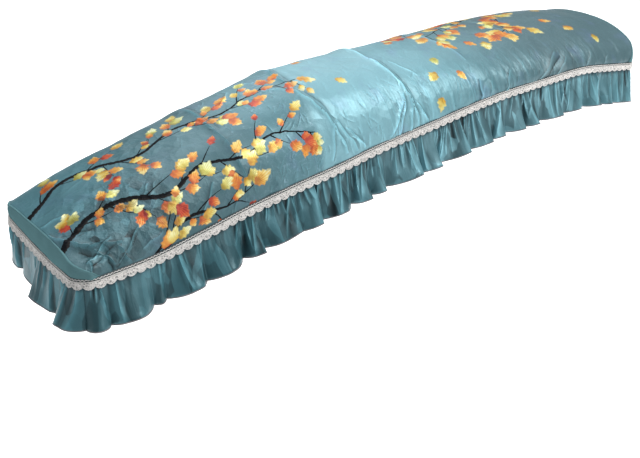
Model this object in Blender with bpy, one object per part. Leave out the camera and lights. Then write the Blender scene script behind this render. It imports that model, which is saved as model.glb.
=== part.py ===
"""Dust cover for a guzheng: printed satin top, two plain ends, a lace trim and a gathered frill.

Metres, +Z up. X runs along the cover from the tail end (-) to the head end (+), and the front
long side lies at -Y. Heights in the tables are measured from the lowest edge of the lace at the
front left corner. The origin is on the underside of the top at mid-length, where the instrument
carries the cover, so lowered() takes the height of that point off every height.
"""

import math

import bpy
import bmesh
from mathutils import Vector

# Driving sizes
LENGTH = 1.68
HALF_WIDTH_TAIL = 0.182
HALF_WIDTH_HEAD = 0.205
CORNER_RADIUS = 0.045
FRILL_DEPTH = 0.106
TAIL_SAG = 0.011

# Cloth
CLOTH = 0.0015
LACE_CLOTH = 0.0010
SEAM_GAP = 0.0008
END_SEAM_GAP = 0.0025

# Lace
SCALLOP_PITCH = 0.0218
LACE_ABOVE_SEAM = 0.001
LACE_TO_NOTCH = 0.0147
LACE_TO_TIP = 0.0187
LACE_HEAD_OFFSET = 0.0020
LACE_FOOT_OFFSET = 0.0062

# Facets
TOP_STATIONS = 50
TOP_FACETS = 20
SEAM_FITS = 4
FRILL_LEVELS = (0.0, 0.25, 0.60, 1.0)
FOLD_FACETS = 6
END_FACETS = 24
END_LEVELS = (0.0, 0.5, 1.0)
SCALLOP_STEPS = ((0.0, LACE_TO_NOTCH), (0.28, LACE_TO_TIP), (0.72, LACE_TO_TIP))

# Cross-sections: x, front seam height, back seam height, crown height, squareness in front and behind
X, FRONT_SEAM, BACK_SEAM, CROWN, SQUARE_FRONT, SQUARE_BACK = range(6)
SECTIONS = (
    (-0.84, 0.010, 0.030, 0.057, 3.4, 5.5),
    (-0.77, 0.013, 0.027, 0.094, 2.6, 4.5),
    (-0.68, 0.018, 0.026, 0.127, 2.6, 4.0),
    (-0.57, 0.036, 0.038, 0.158, 2.6, 3.6),
    (-0.45, 0.058, 0.060, 0.187, 2.5, 3.2),
    (-0.33, 0.075, 0.075, 0.218, 2.4, 2.8),
    (-0.22, 0.088, 0.088, 0.242, 2.4, 2.5),
    (-0.10, 0.107, 0.107, 0.246, 2.4, 2.4),
    (0.06, 0.124, 0.124, 0.243, 2.4, 2.4),
    (0.26, 0.145, 0.145, 0.240, 2.4, 2.4),
    (0.46, 0.150, 0.150, 0.239, 2.4, 2.4),
    (0.60, 0.149, 0.149, 0.235, 2.3, 2.3),
    (0.72, 0.132, 0.132, 0.225, 2.2, 2.2),
    (0.84, 0.113, 0.113, 0.209, 2.2, 2.2),
)
SHOULDER = 1.87
EDGE_FADE = 6

# Soft ridges across the top, where the cloth was folded: x at the front, x at the back, height, width
RIDGES = (
    (-0.437, -0.445, 0.003, 0.022),
    (-0.205, -0.222, 0.005, 0.022),
    (0.012, 0.015, 0.005, 0.022),
    (0.240, 0.235, 0.003, 0.020),
)

# Hollows in the top: x, y, depth, reach along, reach across
HOLLOWS = (
    (-0.797, -0.148, 0.013, 0.034, 0.032),
    (-0.765, -0.095, 0.006, 0.040, 0.040),
    (-0.700, -0.135, 0.006, 0.035, 0.030),
    (-0.800, 0.070, 0.006, 0.030, 0.060),
    (0.790, 0.020, 0.004, 0.050, 0.100),
)

# Frill folds along each side: width, how far it stands out, where it stands out most, hem swing
FRONT_FOLDS = (
    (0.040, 0.020, 0.50, 0.014),
    (0.100, 0.036, 0.52, 0.012),
    (0.030, 0.014, 0.50, 0.004),
    (0.090, 0.030, 0.60, 0.004),
    (0.095, 0.036, 0.50, 0.020),
    (0.045, 0.036, 0.85, 0.008),
    (0.100, 0.022, 0.40, 0.006),
    (0.055, 0.030, 0.75, 0.024),
    (0.095, 0.030, 0.60, 0.006),
    (0.050, 0.030, 0.70, 0.008),
    (0.050, 0.024, 0.50, 0.010),
    (0.100, 0.030, 0.70, 0.010),
    (0.060, 0.038, 0.75, 0.022),
    (0.100, 0.030, 0.70, 0.004),
    (0.075, 0.026, 0.70, 0.018),
    (0.055, 0.022, 0.60, 0.014),
    (0.060, 0.030, 0.75, 0.006),
    (0.065, 0.028, 0.50, 0.008),
    (0.075, 0.034, 0.88, 0.008),
    (0.095, 0.024, 0.50, 0.000),
    (0.075, 0.030, 0.60, 0.008),
    (0.055, 0.024, 0.50, 0.008),
    (0.100, 0.030, 0.55, 0.006),
)
HEAD_FOLDS = (
    (0.070, 0.024, 0.60, -0.012),
    (0.080, 0.028, 0.40, -0.018),
    (0.075, 0.024, 0.60, -0.016),
    (0.085, 0.030, 0.45, -0.016),
    (0.080, 0.024, 0.55, -0.012),
)
TAIL_FOLDS = (
    (0.060, 0.008, 0.50, 0.003),
    (0.089, 0.012, 0.40, 0.000),
    (0.129, 0.036, 0.14, 0.002),
    (0.059, 0.036, 0.18, 0.000),
)
# The back isn't seen, and takes the front's folds the other way round
BACK_FOLDS = tuple((width, out, 1.0 - peak, swing) for width, out, peak, swing in reversed(FRONT_FOLDS))

# How the frill leaves the seam: a fold and the hem's swing grow with these powers of the depth
FOLD_GROWTHS = (1.7, 1.7, 1.7, 1.25)
SWING_GROWTH = 2.0
MOST_LEAN = 0.8

# Colours
TEAL_PRINTED = (0.110, 0.270, 0.300, 1.0)
TEAL_PLAIN = (0.060, 0.170, 0.190, 1.0)
CREAM = (0.780, 0.740, 0.700, 1.0)

HALF_LENGTH = LENGTH / 2
SIDE_RUN = LENGTH - 2 * CORNER_RADIUS
ARC = CORNER_RADIUS * math.pi / 2


def reading(rows, x, column):
    """Value of one column of a table at x, on a smooth curve through the table's rows."""
    x = min(max(x, rows[0][X]), rows[-1][X])
    last = len(rows) - 1
    i = max(k for k in range(last) if rows[k][X] <= x)

    def slope(k):
        low, high = max(k - 1, 0), min(k + 1, last)
        return (rows[high][column] - rows[low][column]) / (rows[high][X] - rows[low][X])

    step = rows[i + 1][X] - rows[i][X]
    t = (x - rows[i][X]) / step
    start = rows[i][column] * (1 + 2 * t) * (1 - t) ** 2 + slope(i) * step * t * (1 - t) ** 2
    end = rows[i + 1][column] * t * t * (3 - 2 * t) - slope(i + 1) * step * t * t * (1 - t)
    return start + end


UNDERSIDE = reading(SECTIONS, 0.0, CROWN) - CLOTH / 2


def lowered(height):
    """Height above the origin of a height in the tables."""
    return height - UNDERSIDE


def half_width(x):
    """Half of the cover's width at the seam, wider towards the head."""
    t = min(max((x + HALF_LENGTH - CORNER_RADIUS) / SIDE_RUN, 0.0), 1.0)
    return HALF_WIDTH_TAIL + (HALF_WIDTH_HEAD - HALF_WIDTH_TAIL) * t * t * (3 - 2 * t)


def seam_height(x, y):
    """Height of the seam at a point of the plan outline, which sags in the middle of the tail end."""
    share = y / half_width(x)
    across = 0.5 + 0.5 * share
    level = reading(SECTIONS, x, FRONT_SEAM) * (1 - across) + reading(SECTIONS, x, BACK_SEAM) * across
    near_tail = min(max((-0.74 - x) / 0.10, 0.0), 1.0)
    return level - TAIL_SAG * near_tail ** 2 * max(1 - share ** 2, 0.0)


def end_x(side, y, width):
    """How far the cover reaches along X at y: straight across, with round corners."""
    past = max(abs(y) - (width - CORNER_RADIUS), 0.0)
    return side * (HALF_LENGTH - CORNER_RADIUS + math.sqrt(max(CORNER_RADIUS ** 2 - past ** 2, 0.0)))


def relief(x, y):
    """What ridges and hollows add to the height of the top."""
    u = 0.5 + 0.5 * y / half_width(x)
    fade = max(1.0 - abs(2 * u - 1) ** EDGE_FADE, 0.0)
    height = 0.0
    for front_x, back_x, ridge, width in RIDGES:
        line = front_x + (back_x - front_x) * u
        height += fade * ridge * math.exp(-((x - line) / width) ** 2)
    for hollow_x, hollow_y, depth, along, across in HOLLOWS:
        height -= fade * depth * math.exp(-((x - hollow_x) / along) ** 2 - ((y - hollow_y) / across) ** 2)
    return height


def section_point(x, angle):
    """Point of the cross-section at x: angle -90 degrees is the front seam, 90 the back seam."""
    square = reading(SECTIONS, x, SQUARE_FRONT if angle < 0 else SQUARE_BACK)
    across = math.copysign(abs(math.sin(angle)) ** (2 / square), angle)
    rise = max(math.cos(angle), 0.0) ** (2 / SHOULDER)
    y = half_width(x) * across
    seam = seam_height(x, y)
    z = seam + (reading(SECTIONS, x, CROWN) - seam) * rise
    return y, z


def outline(run):
    """Point and outward direction of the plan outline, run metres from the middle of the front left corner.

    The outline goes along the front, the head, the back and the tail, and then closes."""
    tail_run = 2 * (HALF_WIDTH_TAIL - CORNER_RADIUS)
    head_run = 2 * (HALF_WIDTH_HEAD - CORNER_RADIUS)
    end = HALF_LENGTH - CORNER_RADIUS
    corners = (
        (end, -(HALF_WIDTH_HEAD - CORNER_RADIUS)),
        (end, HALF_WIDTH_HEAD - CORNER_RADIUS),
        (-end, HALF_WIDTH_TAIL - CORNER_RADIUS),
        (-end, -(HALF_WIDTH_TAIL - CORNER_RADIUS)),
    )
    left = (run - ARC / 2) % outline_length()
    for index, straight in enumerate((SIDE_RUN, head_run, SIDE_RUN, tail_run)):
        facing = math.radians(90 * index - 90)
        if left <= straight:
            middle = straight / 2 - left
            x, y = (
                (-middle, -half_width(-middle)),
                (HALF_LENGTH, -middle),
                (middle, half_width(middle)),
                (-HALF_LENGTH, middle),
            )[index]
            return x, y, math.cos(facing), math.sin(facing)
        left -= straight
        if left <= ARC:
            turn = facing + left / CORNER_RADIUS
            x = corners[index][0] + CORNER_RADIUS * math.cos(turn)
            y = corners[index][1] + CORNER_RADIUS * math.sin(turn)
            return x, y, math.cos(turn), math.sin(turn)
        left -= ARC
    raise ValueError("the outline is shorter than the run")


def side_lengths():
    """Lengths of the four sides of the outline, from corner middle to corner middle."""
    head_run = 2 * (HALF_WIDTH_HEAD - CORNER_RADIUS)
    tail_run = 2 * (HALF_WIDTH_TAIL - CORNER_RADIUS)
    return tuple(straight + ARC for straight in (SIDE_RUN, head_run, SIDE_RUN, tail_run))


def outline_length():
    return sum(side_lengths())


def fold_rows():
    """All the frill's folds in order round the outline: start, width, out, peak, growth, swing here, swing next."""
    rows = []
    start = 0.0
    sides = (FRONT_FOLDS, HEAD_FOLDS, BACK_FOLDS, TAIL_FOLDS)
    for length, folds, growth in zip(side_lengths(), sides, FOLD_GROWTHS):
        scale = length / sum(width for width, *_ in folds)
        for width, out, peak, swing in folds:
            rows.append([start, width * scale, out, peak, growth, swing])
            start += width * scale
    return [row + [rows[(i + 1) % len(rows)][5]] for i, row in enumerate(rows)]


def frill_point(run, level, out, growth, swing):
    """Point of the frill below the outline at run: level 0 is the seam, 1 the hem."""
    x, y, out_x, out_y = outline(run)
    offset = swing * level ** SWING_GROWTH + out * level ** growth
    reach = FRILL_DEPTH * level
    drop = math.sqrt(reach ** 2 - min(offset, MOST_LEAN * reach) ** 2)
    z = seam_height(x, y) - SEAM_GAP / 2 - drop
    return Vector((x + out_x * offset, y + out_y * offset, lowered(z)))


def cloth_material(name, colour, roughness):
    material = bpy.data.materials.new(name)
    material.use_nodes = True
    shader = material.node_tree.nodes["Principled BSDF"]
    shader.inputs["Base Color"].default_value = colour
    shader.inputs["Roughness"].default_value = roughness
    shader.inputs["Metallic"].default_value = 0.0
    return material


def sheet(name, rows, closed, thickness, material):
    """Cloth through a grid of points: each row runs along the piece, its thickness on both faces."""
    mesh = bpy.data.meshes.new(name)
    grid = bmesh.new()
    verts = [[grid.verts.new(point) for point in row] for row in rows]
    columns = len(rows[0])
    for lower, upper in zip(verts, verts[1:]):
        for i in range(columns if closed else columns - 1):
            j = (i + 1) % columns
            grid.faces.new((lower[i], lower[j], upper[j], upper[i]))
    grid.to_mesh(mesh)
    grid.free()
    mesh.materials.append(material)
    mesh.shade_smooth()
    piece = bpy.data.objects.new(name, mesh)
    bpy.context.scene.collection.objects.link(piece)
    solidify = piece.modifiers.new("Thickness", "SOLIDIFY")
    solidify.thickness = thickness
    solidify.offset = 0.0
    solidify.use_even_offset = True
    return piece


def make_top_panel(material):
    """Top and both long sides in one sheet, from seam to seam."""
    rows = []
    for i in range(TOP_FACETS + 1):
        angle = math.radians(-90 + 180 * i / TOP_FACETS)
        row = []
        for k in range(TOP_STATIONS + 1):
            share = k / TOP_STATIONS
            x = -HALF_LENGTH + LENGTH * share
            for _ in range(SEAM_FITS):
                y = section_point(x, angle)[0]
                tail = end_x(-1, y, HALF_WIDTH_TAIL) + END_SEAM_GAP
                head = end_x(1, y, HALF_WIDTH_HEAD) - END_SEAM_GAP
                x = tail + (head - tail) * share
            y, z = section_point(x, angle)
            row.append(Vector((x, y, lowered(z + relief(x, y)) + SEAM_GAP / 2)))
        rows.append(row)
    return sheet("top_panel", rows, False, CLOTH, material)


def make_end_panel(name, side, material):
    """Upright end, from the seam up to the edge of the top, tapering out at both corners."""
    steepest = 82
    columns = []
    for i in range(END_FACETS + 1):
        angle = math.radians(-steepest + 2 * steepest * i / END_FACETS)
        x = side * HALF_LENGTH
        y = section_point(x, angle)[0]
        x = end_x(side, y, half_width(x))
        y, z = section_point(x, angle)
        seam = seam_height(x, y) + SEAM_GAP / 2
        rise = z + relief(x, y) - seam
        columns.append([Vector((x, y, lowered(seam + rise * level))) for level in END_LEVELS])
    rows = [[column[level] for column in columns] for level in range(len(END_LEVELS))]
    if side < 0:
        rows = [row[::-1] for row in rows]
    return sheet(name, rows, False, CLOTH, material)


def make_lace_trim(material):
    """Scalloped strip over the seam, standing off it a little more at its foot."""
    scallops = round(outline_length() / SCALLOP_PITCH)
    pitch = outline_length() / scallops
    head_row, foot_row = [], []
    for scallop in range(scallops):
        for share, depth in SCALLOP_STEPS:
            x, y, out_x, out_y = outline((scallop + share) * pitch)
            z = seam_height(x, y)
            slope = (LACE_FOOT_OFFSET - LACE_HEAD_OFFSET) / (LACE_ABOVE_SEAM + LACE_TO_TIP)
            foot = LACE_HEAD_OFFSET + slope * (LACE_ABOVE_SEAM + depth)
            head_row.append(Vector((x + out_x * LACE_HEAD_OFFSET, y + out_y * LACE_HEAD_OFFSET,
                                    lowered(z + LACE_ABOVE_SEAM))))
            foot_row.append(Vector((x + out_x * foot, y + out_y * foot, lowered(z - depth))))
    return sheet("lace_trim", [foot_row, head_row], True, LACE_CLOTH, material)


def make_frill(material):
    """Gathered strip below the seam, each fold standing out to its own peak and back."""
    rise_share = 0.6
    rows = [[] for _ in FRILL_LEVELS]
    for start, width, out, peak, growth, swing, next_swing in fold_rows():
        for i in range(FOLD_FACETS):
            share = i / FOLD_FACETS
            if share <= rise_share:
                place = peak * share / rise_share
                stand = math.sin(math.pi / 2 * share / rise_share)
            else:
                past = (share - rise_share) / (1 - rise_share)
                place = peak + (1 - peak) * past
                stand = math.cos(math.pi / 2 * past)
            hem_swing = swing + (next_swing - swing) * place
            for row, level in zip(rows, FRILL_LEVELS):
                row.append(frill_point(start + width * place, level, out * stand, growth, hem_swing))
    return sheet("frill", rows[::-1], True, CLOTH, material)


def main():
    for old in list(bpy.data.objects):
        bpy.data.objects.remove(old)
    printed = cloth_material("printed_satin", TEAL_PRINTED, 0.38)
    plain = cloth_material("plain_satin", TEAL_PLAIN, 0.38)
    lace = cloth_material("lace", CREAM, 0.80)
    make_top_panel(printed)
    make_end_panel("end_panel_tail", -1, plain)
    make_end_panel("end_panel_head", 1, plain)
    make_lace_trim(lace)
    make_frill(plain)


main()
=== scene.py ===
"""Looks of the guzheng dust cover: printed satin top, plain ends, lace trim and gathered frill.

Metres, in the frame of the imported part: X along the cover from tail to head, -Y the front side,
+Z up, and the origin on the underside of the top at mid-length.
"""

import math

import bpy
import numpy as np
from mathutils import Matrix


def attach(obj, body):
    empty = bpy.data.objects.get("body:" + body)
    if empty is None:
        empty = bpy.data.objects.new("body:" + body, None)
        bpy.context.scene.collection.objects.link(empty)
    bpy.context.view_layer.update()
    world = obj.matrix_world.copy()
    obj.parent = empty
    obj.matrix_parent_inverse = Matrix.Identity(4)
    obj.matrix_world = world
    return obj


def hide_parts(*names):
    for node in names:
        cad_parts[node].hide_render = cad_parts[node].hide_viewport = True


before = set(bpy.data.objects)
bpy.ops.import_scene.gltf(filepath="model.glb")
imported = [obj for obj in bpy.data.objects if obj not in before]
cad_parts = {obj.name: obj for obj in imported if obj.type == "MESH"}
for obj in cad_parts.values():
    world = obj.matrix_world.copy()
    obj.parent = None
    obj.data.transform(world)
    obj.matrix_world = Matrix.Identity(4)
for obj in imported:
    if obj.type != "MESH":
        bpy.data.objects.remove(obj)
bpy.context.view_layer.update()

# Kinds of node trees and of their sockets
SHADER, VECTOR, NUMBER, COLOUR = "ShaderNodeTree", "NodeSocketVector", "NodeSocketFloat", "NodeSocketColor"
COUNT, GEOMETRY = "NodeSocketInt", "NodeSocketGeometry"

# Driving sizes, as the solids have them
LENGTH = 1.68
HALF_WIDTH_TAIL = 0.182
HALF_WIDTH_HEAD = 0.205
CORNER_RADIUS = 0.045
FRILL_DEPTH = 0.106
TAIL_SAG = 0.011
SOLID_CLOTH = 0.0015
SEAM_GAP = 0.0008
TAIL_SAG_FROM, TAIL_SAG_REACH = -0.74, 0.10
SHOULDER = 1.87
FOLD_GROWTHS = (1.7, 1.7, 1.7, 1.25)
SWING_GROWTH = 2.0
MOST_LEAN = 0.8

# Cloth as it is seen
SATIN = 0.0006
END_TUCK = 0.0010

# Rolled seam at the top of the end panels: its turned edge, out and up; then height, place and width
END_LIP = ((0.0009, 0.0), (-0.0010, 0.0), (-0.0028, -0.0002))
END_ROLLS = ((0.0007, 0.0028, 0.0022), (-0.0004, 0.0065, 0.0016))

# Colours of the print's ground and of the plain cloth
GROUND_DEEP = (0.076, 0.202, 0.240, 1)
# Pale wash of the print's ground, which in the middle of the top is partly a painted sheen
GROUND_PALE_AND_SHEEN = (0.192, 0.400, 0.462, 1)
# Pale blue of the specks on the crinkles: painted glints
GROUND_PAINTED_GLINT = (0.300, 0.470, 0.580, 1)
GROUND_VIOLET = (0.125, 0.190, 0.360, 1)
FRILL_TEAL = (0.049, 0.134, 0.160, 1)
# Frill paler towards the head, and a little darker again at the head end: painted light and shade
FRILL_PAINTED_LIGHT = (0.114, 0.244, 0.284, 1)
FRILL_HEAD_PAINTED_SHADE = (0.080, 0.192, 0.226, 1)
END_TEAL = (0.108, 0.218, 0.236, 1)
# Darker, greyer ground towards the head end: painted shade
GROUND_HEAD_PAINTED_SHADE = (0.078, 0.152, 0.174, 1)
BACK_TEAL = (0.075, 0.170, 0.195, 1)
# Very dark teal of the band behind the lace's heading: painted shadow
SEAM_SHADOW_TEAL = (0.012, 0.028, 0.033, 1)

# Colours of the threads, the net and the print
CREAM, CREAM_SHADE = (0.95, 0.94, 0.92, 1), (0.84, 0.82, 0.79, 1)
ROSE_GREY, ROSE_GREY_SHADE = (0.42, 0.38, 0.38, 1), (0.26, 0.25, 0.27, 1)
NET_WHITE, NET_HOLE = (0.84, 0.80, 0.77, 1), (0.16, 0.165, 0.16, 1)
BARK_DARK, BARK_PALE = (0.006, 0.007, 0.009, 1), (0.032, 0.030, 0.029, 1)
LEAF_RIB = (0.45, 0.12, 0.02, 1)

# Yellow, orange, red and unripe leaves, each from the foot to the tip: place, red, green, blue
LEAF_PAINTS = (
    ((0.05, 0.383, 0.178, 0.017), (0.35, 0.592, 0.374, 0.043),
     (0.70, 0.679, 0.605, 0.189), (1.0, 0.748, 0.748, 0.482)),
    ((0.05, 0.331, 0.045, 0.01), (0.35, 0.574, 0.16, 0.017),
     (0.70, 0.679, 0.356, 0.052), (1.0, 0.748, 0.605, 0.241)),
    ((0.05, 0.191, 0.007, 0.007), (0.40, 0.452, 0.036, 0.007),
     (0.75, 0.592, 0.134, 0.017), (1.0, 0.679, 0.356, 0.095)),
    ((0.05, 0.261, 0.231, 0.026), (0.40, 0.522, 0.516, 0.12), (1.0, 0.731, 0.783, 0.499)),
)

# Outline of a printed leaf
LEAF_WIDTH = 0.36
LEAF_SHOULDER = 0.80

# Middle of the crumpled corner, and how much painted shade darkens the low front side from each x towards the
# tail
CRUMPLED_CORNER = (-0.74, -0.15, -0.10)
LOW_SIDE_PAINTED_SHADE = ((-0.20, 0.15), (-0.48, 0.09), (-0.62, 0.20))

# Creases in the satin's surface: name, width, gain, rise, painted tone along the line (lighter on ridges,
# darker in troughs), and painted light on one side with shade on the other
PRESSED_LINES = (
    ("crease_ridge", 0.0017, 340.0, 1.9, 1.10, 0.60),
    ("crease_trough", 0.0026, 260.0, -1.9, -0.70, 0.20),
    ("wrinkle", 0.0015, 500.0, 0.9, 0.30, 0.30),
)
PRESSED_REACH = 0.009

# Streaks of the gathered satin: scale, rise; and cells of the net: scale, randomness, gain, reach, depth
FRILL_STREAKS = (((34.0, 5.0, 0.0), 3.0), ((120.0, 14.0, 0.0), 0.7))
NET_CELLS = ((175.0, 0.90, 6.0, -0.40, 0.85), (400.0, 0.60, 5.0, -0.42, 0.50))

# Camera: degrees down and round, and the lens that gives the photograph's angle of view
CAMERA_DOWN, CAMERA_HEADING = 27.93, -38.06
SENSOR_WIDTH = 36.0
FOCAL_PIXELS, PHOTO_WIDTH = 979.0, 640.0

# Studio: light of the surroundings, floor, and lamps by place, target, size, power and colour
WORLD_COLOUR = (0.95, 0.97, 1.0, 1.0)
WORLD_SIDE = (0.05, -0.08, 0.995)
WORLD_DIM, WORLD_BRIGHT = 0.16, 0.74
FLOOR_LEVEL, FLOOR_REACH = -0.834, 12.0
FLOOR_SIDE, FLOOR_FADE = (0.6165, 0.7874, 0.0), (-2.03, -0.53)
FLOOR_GREY = (0.52, 0.53, 0.54, 1)
FLOOR_GLOW = 0.62
LIGHTS = (
    ("key", (2.0, -2.2, 4.2), (0.0, 0.0, -0.1), 2.2, 180, (1.0, 0.985, 0.96)),
    ("front_fill", (0.9, -3.6, 0.5), (0.1, 0.0, -0.2), 1.6, 28, (1.0, 0.99, 0.98)),
    ("middle_panel", (1.32, 1.05, 1.20), (0.05, 0.0, 0.0), 1.2, 4.9, (0.97, 0.99, 1.0)),
    ("slope_panel", (0.02, 1.10, 2.00), (-0.25, 0.0, 0.0), 1.2, 17, (0.97, 0.99, 1.0)),
    ("back_panel", (0.55, 1.75, 0.95), (-0.2, 0.05, 0.0), 1.3, 7, (0.97, 0.99, 1.0)),
    ("tail_fill", (-3.0, 0.3, 0.7), (-0.8, 0.0, -0.2), 1.6, 8, (1.0, 0.99, 0.97)),
)

# Cross-sections: x, front seam height, back seam height, crown height, squareness in front and behind
SECTIONS = (
    (-0.84, 0.010, 0.030, 0.057, 3.4, 5.5),
    (-0.77, 0.013, 0.027, 0.094, 2.6, 4.5),
    (-0.68, 0.018, 0.026, 0.127, 2.6, 4.0),
    (-0.57, 0.036, 0.038, 0.158, 2.6, 3.6),
    (-0.45, 0.058, 0.060, 0.187, 2.5, 3.2),
    (-0.33, 0.075, 0.075, 0.218, 2.4, 2.8),
    (-0.22, 0.088, 0.088, 0.242, 2.4, 2.5),
    (-0.10, 0.107, 0.107, 0.246, 2.4, 2.4),
    (0.06, 0.124, 0.124, 0.243, 2.4, 2.4),
    (0.26, 0.145, 0.145, 0.240, 2.4, 2.4),
    (0.46, 0.150, 0.150, 0.239, 2.4, 2.4),
    (0.60, 0.149, 0.149, 0.235, 2.3, 2.3),
    (0.72, 0.132, 0.132, 0.225, 2.2, 2.2),
    (0.84, 0.113, 0.113, 0.209, 2.2, 2.2),
)

# Frill folds along each side: width, how far it stands out, where it stands out most, hem swing
FRONT_FOLDS = (
    (0.040, 0.020, 0.50, 0.014),
    (0.100, 0.036, 0.52, 0.012),
    (0.030, 0.014, 0.50, 0.004),
    (0.090, 0.030, 0.60, 0.004),
    (0.095, 0.036, 0.50, 0.020),
    (0.045, 0.036, 0.85, 0.008),
    (0.100, 0.022, 0.40, 0.006),
    (0.055, 0.030, 0.75, 0.024),
    (0.095, 0.030, 0.60, 0.006),
    (0.050, 0.030, 0.70, 0.008),
    (0.050, 0.024, 0.50, 0.010),
    (0.100, 0.030, 0.70, 0.010),
    (0.060, 0.038, 0.75, 0.022),
    (0.100, 0.030, 0.70, 0.004),
    (0.075, 0.026, 0.70, 0.018),
    (0.055, 0.022, 0.60, 0.014),
    (0.060, 0.030, 0.75, 0.006),
    (0.065, 0.028, 0.50, 0.008),
    (0.075, 0.034, 0.88, 0.008),
    (0.095, 0.024, 0.50, 0.000),
    (0.075, 0.030, 0.60, 0.008),
    (0.055, 0.024, 0.50, 0.008),
    (0.100, 0.030, 0.55, 0.006),
)
HEAD_FOLDS = (
    (0.070, 0.024, 0.60, -0.012),
    (0.080, 0.028, 0.40, -0.018),
    (0.075, 0.024, 0.60, -0.016),
    (0.085, 0.030, 0.45, -0.016),
    (0.080, 0.024, 0.55, -0.012),
)
TAIL_FOLDS = (
    (0.060, 0.008, 0.50, 0.003),
    (0.089, 0.012, 0.40, 0.000),
    (0.129, 0.036, 0.14, 0.002),
    (0.059, 0.036, 0.18, 0.000),
)
BACK_FOLDS = tuple((width, out, 1.0 - peak, swing) for width, out, peak, swing in reversed(FRONT_FOLDS))

# Soft ridges across the top: x at the front, x at the back, height, width
RIDGES = (
    (-0.437, -0.445, 0.003, 0.022),
    (-0.205, -0.222, 0.005, 0.022),
    (0.012, 0.015, 0.005, 0.022),
    (0.240, 0.235, 0.003, 0.020),
)
EDGE_FADE = 6

# Fine wrinkles pressed into the top: from along, to along, from across, to across, how many,
# direction and its spread in degrees, shortest, longest, strength
WRINKLES = (
    (-0.470, -0.220, -0.080, 0.170, 90, 110, 70, 0.012, 0.045, 0.0016),
    (-0.450, -0.240, -0.240, -0.080, 36, 60, 50, 0.016, 0.050, 0.0012),
    (-0.820, -0.460, -0.200, 0.140, 60, 30, 60, 0.025, 0.075, 0.0009),
    (-0.220, 0.020, -0.120, 0.150, 46, 98, 35, 0.020, 0.060, 0.0010),
    (-0.200, 0.110, -0.262, -0.130, 60, 104, 26, 0.022, 0.060, 0.0020),
    (0.020, 0.450, -0.160, 0.150, 80, 84, 40, 0.020, 0.070, 0.0011),
    (0.110, 0.640, -0.256, -0.150, 90, 76, 24, 0.018, 0.052, 0.0022),
    (0.450, 0.820, -0.160, 0.150, 70, 78, 42, 0.018, 0.060, 0.0011),
    (-0.560, -0.220, -0.262, -0.190, 40, 80, 30, 0.016, 0.040, 0.0014),
    (-0.820, 0.820, 0.150, 0.260, 120, 90, 35, 0.020, 0.055, 0.0016),
)

# Soft bumps all over the top: height, length along and across, and whether they fade at the edges
TOP_BUMPS = ((0.0018, 0.085, 0.065, True), (0.0008, 0.036, 0.030, True), (0.0003, 0.015, 0.014, False))

# Hollows in the top: x, y, depth, reach along, reach across
HOLLOWS = (
    (-0.797, -0.148, 0.013, 0.034, 0.032),
    (-0.765, -0.095, 0.006, 0.040, 0.040),
    (-0.700, -0.135, 0.006, 0.035, 0.030),
    (-0.800, 0.070, 0.006, 0.030, 0.060),
    (0.790, 0.020, 0.004, 0.050, 0.100),
)
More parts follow.
